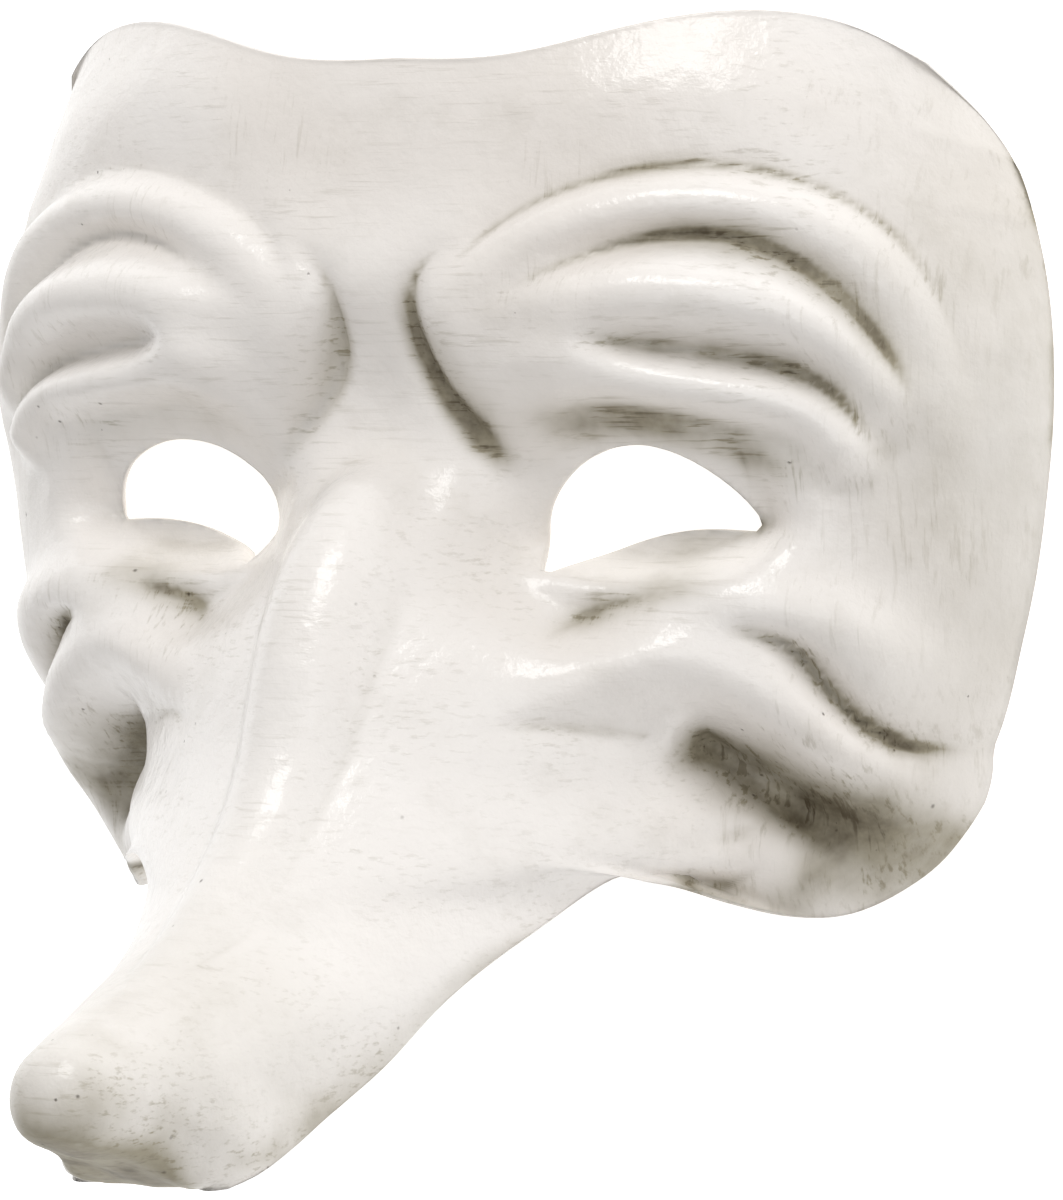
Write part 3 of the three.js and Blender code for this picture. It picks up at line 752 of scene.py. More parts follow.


# Each band: strength, width, fades at its ends and the plan places that it runs through. Most are wash;
# some also paint shade under overhangs.
WASH_AND_SHADE_BANDS = (
    # The next three bands, in the cheek pocket and over the jaw, paint the shade under the overhanging
    # cheek roll along with the wash.
    WashAndShadeBand(1.0, 3.4, (0.12, 0.3), ((41, -29), (49.5, -34), (56, -38.6), (61, -42.2), (67, -45.5))),
    WashAndShadeBand(0.8, 6.5, (0.3, 0.3), ((44, -30), (54, -36), (62, -41), (68, -47))),
    WashAndShadeBand(0.65, 6.5, (0.2, 0.3), ((53, -44), (60, -49), (67, -46), (73, -38))),
    WashAndShadeBand(1.0, 2.2, (0.4, 0.25),
          ((11, 38), (7, 33), (6.2, 28), (7, 22.5), (9.6, 17), (12.8, 13.2), (16.4, 9.2), (19.5, 3))),
    WashAndShadeBand(0.45, 5.0, (0.3, 0.3), ((8, 30), (13, 18), (21, 8))),
    WashAndShadeBand(0.5, 3.4, (0.5, 0.3),
          ((20, 31), (30, 35), (38, 37.8), (49, 38.8), (59, 35.4), (66, 29), (70.5, 20), (73, 7))),
    WashAndShadeBand(0.5, 2.8, (0.25, 0.45), ((27, 25.8), (41, 23.8), (56, 21.3), (62, 18.8), (66.5, 12), (69, 2))),
    # This band paints the shade under the lower brow roll, down to the eye hole's top edge, along with
    # wash.
    WashAndShadeBand(0.8, 3.6, (0.3, 0.3), ((18, 6), (22, 11), (30, 13.4), (42, 12.8), (52, 9.8), (60, 5), (64, 0))),
    WashAndShadeBand(0.25, 2.4, (0.3, 0.6),
          ((14, 34), (20, 40.5), (30, 45.5), (46, 48.2), (60, 45.2), (71, 37), (76.5, 24))),
    WashAndShadeBand(0.5, 2.6, (0.3, 0.35), ((26, -19), (29, -14), (35.6, -10.8), (44, -8.6), (54, -8))),
    WashAndShadeBand(0.35, 5.0, (0.3, 0.35), ((26, -10), (38, -7), (52, -5))),
    WashAndShadeBand(0.65, 1.7, (0.25, 0.3),
          ((47.5, -14), (53, -14.7), (57.3, -16.7), (59.8, -19.6), (62, -23.4), (65, -27.6),
           (71.6, -31.4), (77, -29))),
    WashAndShadeBand(0.2, 2.2, (0.3, 0.3), ((24, -28), (32, -27.4), (40, -28.6))),
    WashAndShadeBand(0.45, 3.6, (0.3, 0.3), ((40, -47), (48, -52), (58, -53))),
    # The next two bands paint the shade under the nose tip, by the rim, along with wash.
    WashAndShadeBand(1.0, 5.0, (0.1, 0.3), ((-7, -78), (0, -79.2), (4, -80.4), (8, -81.4), (12, -81))),
    WashAndShadeBand(0.8, 3.0, (0.1, 0.3), ((-6, -84.5), (0, -84.5), (5, -83.6), (10, -82))),
    WashAndShadeBand(0.4, 6.0, (0.1, 0.1), ((-10, -68), (0, -74), (10, -69))),
    WashAndShadeBand(0.5, 2.4, (0.3, 0.1), ((36, -50), (27, -60), (22, -69), (17, -79), (12, -84))),
)


@dataclass
class PaperShell:
    """The mask itself: one shell of glued paper with two eye holes."""

    # Masks on the points: wash bands, crease and hollow darkness that is partly wash and partly painted
    # shade, and crests.
    MASKS: ClassVar[tuple[str, ...]] = ("wash", "crease", "hollow", "crest")
    TINY: ClassVar[float] = 1e-6
    WELD: ClassVar[float] = 1e-4

    name: str = "papier_mache_mask"
    columns: int = 100
    rows: int = 200
    wall: float = 2.8
    rim_fade: float = 6.0
    rim_fade_sharpness: float = 1.5
    # Share of the folds' height that the inner surface has, and that the wall is measured square to.
    inner_folds: float = 0.85
    inner_lean: float = 0.25
    lip: float = 0.45
    lip_profile: tuple[tuple[float, float], ...] = ((0.15, 0.75), (0.5, 1.0), (0.85, 0.75), (1.0, 0.0))
    eye_level: float = 5.0
    eye_flare: float = 1.7
    eye_depth: float = 3.2
    # Reach and gain of the crease, hollow and crest masks; the crease and hollow ones paint shade in the
    # folds as well as wash.
    crease_reach: float = 1.6
    crease_gain: float = 2.2
    hollow_reach: float = 5.0
    hollow_gain: float = 1.3
    crest_reach: float = 2.5
    crest_gain: float = 1.6
    unevenness: float = 0.35
    uneven_size: float = 11.0
    lump_scale: float = 2.7
    lump_share: float = 0.3
    lump_shift: tuple[float, float, float] = (7, 3, 5)
    shift_y: float = 0.0
    form: MaskForm = field(default_factory=MaskForm)
    plan: MaskPlan = field(default_factory=MaskPlan)
    eye: EyeHole = field(default_factory=EyeHole)

    def build(self) -> bpy.types.Object:
        """Builds the whole shell.

        Returns:
            The finished piece, at the origin.
        """
        shell = bmesh.new()
        shell.verts.layers.float_vector.new("inner")
        self.shape_half(shell)
        inner = shell.verts.layers.float_vector["inner"]
        half = shell.faces[:] + shell.edges[:] + shell.verts[:]
        bmesh.ops.mirror(shell, geom=half, merge_dist=self.WELD, axis="X")
        self.turn_out(shell)
        self.roughen(shell)
        for vert in shell.verts:
            vert[inner].x = math.copysign(vert[inner].x, vert.co.x) if abs(vert.co.x) > self.TINY else 0
        walls = self.set_back_edges(shell, inner)
        self.add_inner(shell, inner)
        self.close_edges(shell, walls)
        # The rounded lips and the unevenness must not dip below the plane that the mask lies on.
        for vert in shell.verts:
            vert.co.z = max(vert.co.z, 0)
        shell.verts.layers.float_vector.remove(inner)
        bmesh.ops.translate(shell, verts=shell.verts, vec=(0, self.shift_y, 0))
        bmesh.ops.scale(shell, verts=shell.verts, vec=(MM, MM, MM))
        mesh = bpy.data.meshes.new(self.name)
        shell.to_mesh(mesh)
        shell.free()
        mesh.shade_smooth()
        piece = bpy.data.objects.new(self.name, mesh)
        bpy.context.scene.collection.objects.link(piece)
        return piece

    def shape_half(self, shell: bmesh.types.BMesh) -> None:
        """Shapes a flat grid into one half of the outer surface and cuts its eye hole.

        Args:
            shell: the empty mesh to fill.
        """
        layers = {name: shell.verts.layers.float.new(name) for name in self.MASKS}
        inner = shell.verts.layers.float_vector["inner"]
        bmesh.ops.create_grid(shell, x_segments=self.columns, y_segments=self.rows, size=0.5)
        shell.verts.index_update()
        verts = list(shell.verts)
        s = np.clip(0.5 + np.array([vert.co.x for vert in verts]), 0, 1)
        t = np.clip(0.5 - np.array([vert.co.y for vert in verts]), 0, 1)
        x, y, _ = self.plan.place(s, t)
        distance, nearest = self.eye.measure(x, y)
        snapped = self.snapped(shell, distance)
        x = np.where(snapped, nearest[:, 0], x)
        y = np.where(snapped, nearest[:, 1], y)
        distance = np.where(snapped, 0, distance)
        x = np.where(s < self.TINY, 0, x)
        outer_places, inner_places = self.both_sides(x, y, t, distance)
        masks = self.paint_masks(x, y)
        for i, vert in enumerate(verts):
            vert.co = outer_places[i]
            vert[inner] = inner_places[i]
            for name, layer in layers.items():
                vert[layer] = masks[name][i]
        self.cut_eye(shell, dict(zip(verts, distance)))

    @staticmethod
    def snapped(shell: bmesh.types.BMesh, distance: Array) -> Array:
        """Picks the points to move onto the eye outline, so that no grid edge crosses it.

        Args:
            shell: the grid.
            distance: distance of each point from the outline, below zero inside it.

        Returns:
            Whether each point is moved.
        """
        chosen = np.zeros(distance.shape, bool)
        for edge in shell.edges:
            ends = [vert.index for vert in edge.verts]
            if distance[ends[0]] * distance[ends[1]] < 0:
                chosen[min(ends, key=lambda end: abs(distance[end]))] = True
        return chosen

    def both_sides(self, x: Array, y: Array, t: Array, distance: Array) -> tuple[Array, Array]:
        """Finds the outer and the inner surface over plan places.

        Args:
            x: distances from the midline.
            y: places along the mask.
            t: row of each place.
            distance: distance of each place from the eye hole's outline.

        Returns:
            Places on the outer surface and places on the inner one.
        """
        outer = self.form.place(x, y)
        rows, row_of = np.unique(t, return_inverse=True)
        rim_x, rim_y, rim_z = self.plan.place(np.ones(len(rows)), rows)
        rim = self.form.place(rim_x, rim_y)
        drop = (rim_z - rim[:, 2])[row_of]
        rim = rim[row_of]
        away = np.hypot(outer[:, 0] - rim[:, 0], outer[:, 1] - rim[:, 1])
        trim = drop * np.exp(-((away / self.rim_fade) ** self.rim_fade_sharpness))
        base = self.form.place(x, y, self.inner_folds)
        out = self.form.normal(x, y, self.inner_lean)
        inner = base - self.wall * out
        flare = np.stack([(x - self.eye.top[0]) / 2, y - self.eye.middle_y, np.zeros(x.shape)], axis=-1)
        flare *= self.eye_flare / np.maximum(np.linalg.norm(flare, axis=1, keepdims=True), 1)
        below = base + flare - np.array([0, 0, self.eye_depth])
        straight = 1 - smooth_step(0, self.eye_level, np.abs(distance))[:, None]
        inner = inner * (1 - straight) + below * straight
        resting = (away < self.TINY) & (rim_z[row_of] == 0)
        level = out * np.array([1, 1, 0])
        level /= np.maximum(np.linalg.norm(level, axis=1, keepdims=True), self.TINY)
        inner = np.where(resting[:, None], outer - self.wall * level, inner)
        outer[:, 2] += trim
        inner[:, 2] += trim
        for side in (outer, inner):
            side[:, 2] = np.maximum(side[:, 2], 0)
        return outer, inner

    def paint_masks(self, x: Array, y: Array) -> dict[str, Array]:
        """Works out where wash sits in the folds, and the shade painted in creases and hollows.

        Args:
            x: distances from the midline.
            y: places along the mask.

        Returns:
            A value from 0 to 1 for each place, by the name of its mask.
        """
        # Wash bands; those in the pocket, over the jaw, under the brow and under the nose tip paint shade
        # as well.
        wash = 1 - np.prod([1 - np.clip(wash_and_shade_band.share(x, y), 0, 1) for wash_and_shade_band in WASH_AND_SHADE_BANDS], axis=0)
        # Crease and hollow darkness: partly wash, partly painted shade where the folds shut out light.
        fine = np.clip(self.form.hollowness(x, y, self.crease_reach) * self.crease_gain, 0, 1)
        broad = np.clip(self.form.hollowness(x, y, self.hollow_reach) * self.hollow_gain, 0, 1)
        crest = np.clip(-self.form.hollowness(x, y, self.crest_reach) * self.crest_gain, 0, 1)
        return dict(zip(self.MASKS, (wash, fine, broad, crest)))

    def cut_eye(self, shell: bmesh.types.BMesh, distances: Mapping[bmesh.types.BMVert, float]) -> None:
        """Cuts the eye hole along the points that were snapped to its outline.

        Args:
            shell: the half shell.
            distances: distance of each point from the outline, below zero inside it.
        """
        for face in list(shell.faces):
            values = [distances[vert] for vert in face.verts]
            on = [vert for vert in face.verts if distances[vert] == 0]
            opposite = len(on) == 2 and not any(
                on[0] in edge.verts and on[1] in edge.verts for edge in face.edges
            )
            if min(values) < 0 < max(values) and opposite:
                bmesh.utils.face_split(face, on[0], on[1])
        inside = [face for face in shell.faces if min(distances[vert] for vert in face.verts) < 0
                  or all(distances[vert] == 0 for vert in face.verts)]
        bmesh.ops.delete(shell, geom=inside, context="FACES")

    @staticmethod
    def turn_out(shell: bmesh.types.BMesh) -> None:
        """Turns all faces of the open outer surface upwards.

        Args:
            shell: the outer surface.
        """
        bmesh.ops.recalc_face_normals(shell, faces=shell.faces)
        if sum(face.normal.z * face.calc_area() for face in shell.faces) < 0:
            bmesh.ops.reverse_faces(shell, faces=shell.faces)
        shell.normal_update()

    def roughen(self, shell: bmesh.types.BMesh) -> None:
        """Presses the surface in a little here and there, as a hand-made one is.

        Args:
            shell: the outer surface.
        """
        soft_share = 1 - self.lump_share
        for vert in shell.verts:
            if vert.is_boundary:
                continue
            place = vert.co / self.uneven_size
            soft = noise.noise(place)
            lumpy = noise.noise(place * self.lump_scale + Vector(self.lump_shift))
            press = soft_share * soft + self.lump_share * lumpy - soft_share
            vert.co += vert.normal * self.unevenness * 0.5 * press

    def set_back_edges(self, shell: bmesh.types.BMesh, inner: bmesh.types.BMLayerItem) -> list[Wall]:
        """Draws every open edge back by the height of its rounded lip.

        Args:
            shell: the outer surface.
            inner: layer that keeps each point's place on the inner surface.

        Returns:
            For each open edge, its points with their outer place, inner place and way out.
        """
        walls = []
        for loop in self.open_loops(shell):
            wall = {}
            for vert in dict.fromkeys(vert for edge in loop for vert in edge.verts):
                along = Vector()
                for edge in vert.link_edges:
                    if edge.is_boundary:
                        corner = edge.link_loops[0]
                        along += (corner.link_loop_next.vert.co - corner.vert.co).normalized()
                turned = max(along.length - 1, 0)
                wall[vert] = (vert[inner] - vert.co).cross(along).normalized() * turned
            places = {}
            for vert, out in wall.items():
                vert.co -= out * self.lip
                vert[inner] = vert[inner] - out * self.lip
                places[vert] = (vert.co.copy(), vert[inner].copy(), out)
            walls.append(places)
        return walls

    @staticmethod
    def open_loops(shell: bmesh.types.BMesh) -> list[list[bmesh.types.BMEdge]]:
        """Collects the open edges into closed loops.

        Args:
            shell: the outer surface.

        Returns:
            The edges of each loop.
        """
        left = dict.fromkeys(edge for edge in shell.edges if edge.is_boundary)
        loops = []
        while left:
            stack = [left.popitem()[0]]
            loop = []
            while stack:
                edge = stack.pop()
                loop.append(edge)
                for other in (other for vert in edge.verts for other in vert.link_edges):
                    if other in left:
                        del left[other]
                        stack.append(other)
            loops.append(loop)
        return loops

    @staticmethod
    def add_inner(shell: bmesh.types.BMesh, inner: bmesh.types.BMLayerItem) -> None:
        """Adds the inner surface as a reversed copy of the outer one, moved to its own place.

        Args:
            shell: the outer surface.
            inner: layer that keeps each point's place on the inner surface.
        """
        copy = bmesh.ops.duplicate(shell, geom=shell.faces[:] + shell.edges[:] + shell.verts[:])
        faces = [item for item in copy["geom"] if isinstance(item, bmesh.types.BMFace)]
        for item in copy["geom"]:
            if isinstance(item, bmesh.types.BMVert):
                item.co = item[inner]
        bmesh.ops.reverse_faces(shell, faces=faces)
        for face in faces:
            face.material_index = Side.INNER.value

    def close_edges(self, shell: bmesh.types.BMesh, walls: list[Wall]) -> None:
        """Closes the wall along every open edge with a rounded lip.

        Args:
            shell: outer and inner surface.
            walls: what set_back_edges found.
        """
        for wall in walls:
            ring = {vert: vert for vert in wall}
            for share, bulge in self.lip_profile:
                touching = dict.fromkeys(edge for vert in ring for edge in vert.link_edges)
                edges = [edge for edge in touching if edge.is_boundary and set(edge.verts) <= ring.keys()]
                grown = bmesh.ops.extrude_edge_only(shell, edges=edges)["geom"]
                new_ring = {}
                for item in grown:
                    if not isinstance(item, bmesh.types.BMVert):
                        continue
                    source = next(edge.other_vert(item) for edge in item.link_edges
                                  if edge.other_vert(item) in ring)
                    start, end, out = wall[ring[source]]
                    item.co = start.lerp(end, share) + out * self.lip * bulge
                    new_ring[item] = ring[source]
                ring = new_ring
        seams = [vert for vert in shell.verts if vert.is_boundary]
        bmesh.ops.remove_doubles(shell, verts=seams, dist=self.WELD)


class NodeTree:
    """A short way to place and join shader nodes."""

    def __init__(self, tree: bpy.types.NodeTree) -> None:
        """Takes the tree to work in.

        Args:
            tree: a material's or a group's node tree.
        """
        self.tree = tree
        self.count = 0

    def node(self, kind: str, **settings: object) -> bpy.types.Node:
        """Adds a node.

        Args:
            kind: the node's type.
            settings: its properties.

        Returns:
            The new node.
        """
        node = self.tree.nodes.new(kind)
        for name, value in settings.items():
            setattr(node, name, value)
        self.count += 1
        node.location = (self.count % 8 * 180, -(self.count // 8) * 220)
        return node

    def feed(self, socket: bpy.types.NodeSocket, value: object) -> None:
        """Joins an output to a socket, or sets the socket to a plain value.

        Args:
            socket: the input.
            value: an output, a number or a colour.
        """
        if isinstance(value, bpy.types.NodeSocket):
            self.tree.links.new(value, socket)
        else:
            socket.default_value = value

    def math(self, operation: str, *values: object, clamp: bool = False) -> bpy.types.NodeSocket:
        """Adds a Math node.

        Args:
            operation: what it does.
            values: an output or a number for each input.
            clamp: whether the result is kept between 0 and 1.

        Returns:
            The result.
        """
        node = self.node("ShaderNodeMath", operation=operation, use_clamp=clamp)
        for socket, value in zip(node.inputs, values):
            self.feed(socket, value)
        return node.outputs[0]

    def ramp(self, value: object, low: object, high: object) -> bpy.types.NodeSocket:
        """Maps a value smoothly to a share.

        Args:
            value: an output or a number.
            low: value that gives 0.
            high: value that gives 1.

        Returns:
            The share.
        """
        node = self.node("ShaderNodeMapRange", interpolation_type="SMOOTHSTEP")
        self.feed(node.inputs["Value"], value)
        self.feed(node.inputs["From Min"], low)
        self.feed(node.inputs["From Max"], high)
        return node.outputs["Result"]

    def mix(self, share: object, a: object, b: object) -> bpy.types.NodeSocket:
        """Mixes two colours.

        Args:
            share: how much of the second one there is.
            a: the first colour.
            b: the second colour.

        Returns:
            The mixed colour.
        """
        node = self.node("ShaderNodeMix", data_type="RGBA")
        self.feed(node.inputs["Factor"], share)
        self.feed(node.inputs["A"], a)
        self.feed(node.inputs["B"], b)
        return node.outputs["Result"]

    def noise(
        self, vector: object, scale: float, detail: float, rough: float = 0.5
    ) -> bpy.types.NodeSocket:
        """Adds a noise texture.

        Args:
            vector: where it is read.
            scale: number of waves to a metre.
            detail: number of finer layers.
            rough: how strong the finer layers are.

        Returns:
            Its value.
        """
        node = self.node("ShaderNodeTexNoise")
        self.feed(node.inputs["Vector"], vector)
        node.inputs["Scale"].default_value = scale
        node.inputs["Detail"].default_value = detail
        node.inputs["Roughness"].default_value = rough
        return node.outputs["Fac"]

    def stretch(self, vector: object, scale: tuple[float, float, float]) -> bpy.types.NodeSocket:
        """Stretches a place.

        Args:
            vector: the place.
            scale: factor for each direction.

        Returns:
            The stretched place.
        """
        node = self.node("ShaderNodeVectorMath", operation="MULTIPLY")
        self.feed(node.inputs[0], vector)
        node.inputs[1].default_value = scale
        return node.outputs["Vector"]

    def parts(self, kind: str, value: object) -> bpy.types.bpy_prop_collection:
        """Takes a place or a colour apart.

        Args:
            kind: type of the separating node.
            value: the place or the colour.

        Returns:
            Its three parts.
        """
        node = self.node(kind)
        self.feed(node.inputs[0], value)
        return node.outputs

    def bump(self, height: object, strength: float, distance: float) -> bpy.types.NodeSocket:
        """Raises the surface in light and shade alone.

        Args:
            height: the height pattern.
            strength: how strongly it shows.
            distance: height of the pattern's full value, in metres.

        Returns:
            The bumped normal.
        """
        node = self.node("ShaderNodeBump")
        node.inputs["Strength"].default_value = strength
        node.inputs["Distance"].default_value = distance
        self.feed(node.inputs["Height"], height)
        return node.outputs["Normal"]

    def mask(self, name: str) -> bpy.types.NodeSocket:
        """Reads one of the piece's own painted masks."""
        return self.node("ShaderNodeAttribute", attribute_name=name).outputs["Fac"]


class NodeGroup(NodeTree):
    """A shader node group with named inputs and outputs."""

    def __init__(self, name: str, inputs: Mapping[str, str], outputs: Mapping[str, str]) -> None:
        """Makes the empty group.

        Args:
            name: the group's name.
            inputs: socket type by input name.
            outputs: socket type by output name.
        """
        tree = bpy.data.node_groups.new(name, "ShaderNodeTree")
        super().__init__(tree)
        for direction, sockets in (("INPUT", inputs), ("OUTPUT", outputs)):
            for label, kind in sockets.items():
                tree.interface.new_socket(name=label, in_out=direction, socket_type=kind)
        self.given = self.node("NodeGroupInput").outputs
        self.result = self.node("NodeGroupOutput").inputs

    def placed(self, owner: NodeTree, **values: object) -> bpy.types.bpy_prop_collection:
        """Places the group in a material.

        Args:
            owner: the material's tree.
            values: a value or an output for each input.

        Returns:
            The group's outputs there.
        """
        node = owner.node("ShaderNodeGroup", node_tree=self.tree)
        for name, value in values.items():
            owner.feed(node.inputs[name], value)
        return node.outputs


VALUE = "NodeSocketFloat"
PLACE = "NodeSocketVector"


@dataclass(frozen=True)
class BrushStreaks:
    """The fine streaks that a stiff brush leaves in gesso and wash, as a shader group."""

    name: str = "brush_streaks"
    across: tuple[float, float, float] = (90, 1500, 700)
    down: tuple[float, float, float] = (1500, 110, 500)
    grit: float = 0.6
    side_pull: float = 5.0
    patch_scale: float = 28
    patch_span: Span = (0.66, 0.84)
    line_span: Span = (0.52, 0.72)
    cover_scale: float = 60
    cover_span: Span = (0.35, 0.7)

    def build(self) -> NodeGroup:
        """Builds the group.

        Returns:
            The group, which gives a share of streaks for a place and a patchiness.
        """
        group = NodeGroup(self.name, {"Place": PLACE, "Patchiness": VALUE}, {"Streaks": VALUE})
        place = group.given["Place"]
        patchiness = group.given["Patchiness"]
        across = group.noise(group.stretch(place, self.across), 1.0, 3.0, self.grit)
        down = group.noise(group.stretch(place, self.down), 1.0, 3.0, self.grit)
        sideways = group.math("ABSOLUTE", group.parts("ShaderNodeSeparateXYZ", place)[0])
        patches = group.math(
            "MULTIPLY_ADD", sideways, self.side_pull, group.noise(place, self.patch_scale, 2.0)
        )
        mixed = group.mix(group.ramp(patches, *self.patch_span), across, down)
        lines = group.ramp(mixed, *self.line_span)
        cover = group.ramp(group.noise(place, self.cover_scale, 3.0), *self.cover_span)
        faded = group.math("MULTIPLY_ADD", cover, patchiness, group.math("SUBTRACT", 1.0, patchiness))
        group.feed(group.result["Streaks"], group.math("MULTIPLY", lines, faded, clamp=True))
        return group


@dataclass(frozen=True)
class PaintPits:
    """Pin holes in the paint, dark with wash and gathered in patches, as a shader group."""

    name: str = "paint_pits"
    scale: float = 420
    patch_scale: float = 36
    patch_span: Span = (0.46, 0.72)
    smallest: float = 0.05
    spread: float = 0.16

    def build(self) -> NodeGroup:
        """Builds the group.

        Returns:
            The group, which gives a share of pin holes for a place and an amount.
        """
        group = NodeGroup(self.name, {"Place": PLACE, "Amount": VALUE}, {"Pits": VALUE})
        place = group.given["Place"]
        cells = group.node("ShaderNodeTexVoronoi", feature="F1")
        group.feed(cells.inputs["Vector"], place)
        cells.inputs["Scale"].default_value = self.scale
        chance = group.parts("ShaderNodeSeparateColor", cells.outputs["Color"])
        patches = group.ramp(group.noise(place, self.patch_scale, 2.0), *self.patch_span)
        amount = group.math("MULTIPLY", patches, group.given["Amount"])
        chosen = group.math("LESS_THAN", chance[0], amount)
        size = group.math("MULTIPLY_ADD", chance[1], self.spread, self.smallest)
        dot = group.math("SUBTRACT", 1.0, group.ramp(cells.outputs["Distance"], 0.0, size))
        group.feed(group.result["Pits"], group.math("MULTIPLY", dot, chosen, clamp=True))
        return group


def new_material(name: str) -> tuple[bpy.types.Material, NodeTree, bpy.types.Node]:
    """Starts a material.

    Args:
        name: the material's name.

    Returns:
        The material, a way to add nodes to it, and its shader.
    """
    material = bpy.data.materials.new(name)
    material.use_nodes = True
    return material, NodeTree(material.node_tree), material.node_tree.nodes["Principled BSDF"]


@dataclass(frozen=True)
class VarnishedPaint:
    """The outside: warm white gesso, grey-brown wash with painted shade in the folds and hollows, and a
    glossy varnish.

    A span gives the two values of a pattern that count as none and as full.
    """

    name: str = "varnished_gesso"
    white: Colour = (0.87, 0.835, 0.80, 1)
    cream: Colour = (0.80, 0.75, 0.70, 1)
    cream_scale: float = 14
    cream_span: Span = (0.4, 0.75)
    # Wash colours, light and dark; they also paint the shade in the folds and hollows.
    wash: Colour = (0.25, 0.215, 0.125, 1)
    dark: Colour = (0.055, 0.036, 0.014, 1)
    # How much of the crease and hollow masks goes in: wash and painted shade together.
    crease_wash_and_shade_share: float = 0.75
    hollow_wash_and_shade_share: float = 0.5
    # Where the brow of the other side is made lighter, and by how much.
    far_brow_x: Span = (0.0, -0.012)
    far_brow_y: Span = (-0.005, 0.015)
    far_brow_lightening: float = 0.6
    cloud_scale: float = 45
    fold_wash_and_shade_gain: float = 1.5
    fold_wash_and_shade_least: float = 0.1
    streak_patchiness: float = 0.8
    streak_gain: float = 0.75
    streak_least: float = 0.24
    side_span: Span = (0.056, 0.088)
    tip_span: Span = (0.06, 0.12)
    tip_share: float = 0.8
    side_and_tip_share: float = 0.75
    mottle_scale: float = 70
    mottle_span: Span = (0.5, 0.75)
    mottle_share: float = 0.12
    film_span: Span = (0.06, 0.95)
    film_cover: float = 0.85
    film_dullness: float = 0.25
    grain_scale: float = 110
    grain_streaks: float = 0.5
    grain_span: Span = (0.3, 0.75)
    deep_span: Span = (0.45, 1.0)
    deep_cover: float = 0.9
    pit_gain: float = 0.5
    pit_least: float = 0.2
    pit_cover: float = 0.8
    roughness: float = 0.42
    crest_polish: float = 0.1
    shine: float = 0.3
    varnish: float = 0.5
    varnish_roughness: float = 0.15
    ripple_scale: float = 230
    ripple_height: float = 0.8
    streak_height: float = 0.1
    pit_depth: float = 0.8
    bump_strength: float = 0.6
    bump_height: float = 0.0006

    def build(self, streaks: NodeGroup, pits: NodeGroup) -> bpy.types.Material:
        """Builds the material.

        Args:
            streaks: the brush streak group.
            pits: the pin hole group.

        Returns:
            The finished material.
        """
        material, nodes, shader = new_material(self.name)
        place = nodes.node("ShaderNodeTexCoord").outputs["Object"]
        lines = streaks.placed(nodes, Place=place, Patchiness=self.streak_patchiness)["Streaks"]
        cloud = nodes.noise(place, self.cloud_scale, 4.0, 0.6)
        # left: wash and painted shade in the folds and hollows.
        left = self.wash_and_painted_shade(nodes, place)
        amount = nodes.math("MULTIPLY_ADD", left, self.pit_gain, self.pit_least)
        spots = pits.placed(nodes, Place=place, Amount=amount)["Pits"]
        # Wash and painted shade in the folds, broken up by the cloud pattern.
        fold_wash_and_shade = nodes.math("MULTIPLY_ADD", cloud, self.fold_wash_and_shade_gain, self.fold_wash_and_shade_least)
        fold_wash_and_shade = nodes.math("MULTIPLY", left, fold_wash_and_shade)
        streaky = nodes.math("MULTIPLY_ADD", left, self.streak_gain, self.streak_least)
        streaky = nodes.math("MULTIPLY", lines, streaky)
        film = nodes.math("ADD", nodes.ramp(fold_wash_and_shade, *self.film_span), streaky)
        film = nodes.math("ADD", film, self.darker_sides_tip_and_mottle(nodes, place, cloud), clamp=True)
        nodes.feed(shader.inputs["Base Color"], self.colour(nodes, place, lines, fold_wash_and_shade, film, spots))
        dull = nodes.math("MULTIPLY_ADD", film, self.film_dullness, self.roughness)
        polish = nodes.math("MULTIPLY", nodes.mask("crest"), self.crest_polish)
        nodes.feed(shader.inputs["Roughness"], nodes.math("SUBTRACT", dull, polish))
        coat = nodes.math("MULTIPLY_ADD", film, -self.film_cover * self.varnish, self.varnish)
        nodes.feed(shader.inputs["Coat Weight"], coat)
        shader.inputs["Specular IOR Level"].default_value = self.shine
        shader.inputs["Coat Roughness"].default_value = self.varnish_roughness
        ripple = nodes.noise(place, self.ripple_scale, 4.0, 0.6)
        height = nodes.math("MULTIPLY", ripple, self.ripple_height)
        height = nodes.math("MULTIPLY_ADD", lines, self.streak_height, height)
        height = nodes.math("SUBTRACT", height, nodes.math("MULTIPLY", spots, self.pit_depth))
        for socket, pattern in (("Normal", height), ("Coat Normal", ripple)):
            nodes.feed(shader.inputs[socket], nodes.bump(pattern, self.bump_strength, self.bump_height))
        return material

    def wash_and_painted_shade(self, nodes: NodeTree, place: bpy.types.NodeSocket) -> bpy.types.NodeSocket:
        """Works out where wash and painted shade lie, with less of both on the brow of the other side.

        Args:
            nodes: the material's tree.
            place: place on the piece.

        Returns:
            Its share, 0 to 1.
        """
        # Crease and hollow darkness: wash and painted shade in the folds.
        crease = nodes.math("MULTIPLY", nodes.mask("crease"), self.crease_wash_and_shade_share)
        hollow = nodes.math("MULTIPLY", nodes.mask("hollow"), self.hollow_wash_and_shade_share)
        left = nodes.math("ADD", nodes.mask("wash"), nodes.math("MAXIMUM", crease, hollow), clamp=True)
        x, y, _ = nodes.parts("ShaderNodeSeparateXYZ", place)
        # Less wash and painted shade on the brow of the other side: x below zero, y above about -5 mm.
        far_brow = nodes.math("MULTIPLY", nodes.ramp(x, *self.far_brow_x), nodes.ramp(y, *self.far_brow_y))
        return nodes.math("MULTIPLY", left, nodes.math("MULTIPLY_ADD", far_brow, -self.far_brow_lightening, 1.0))

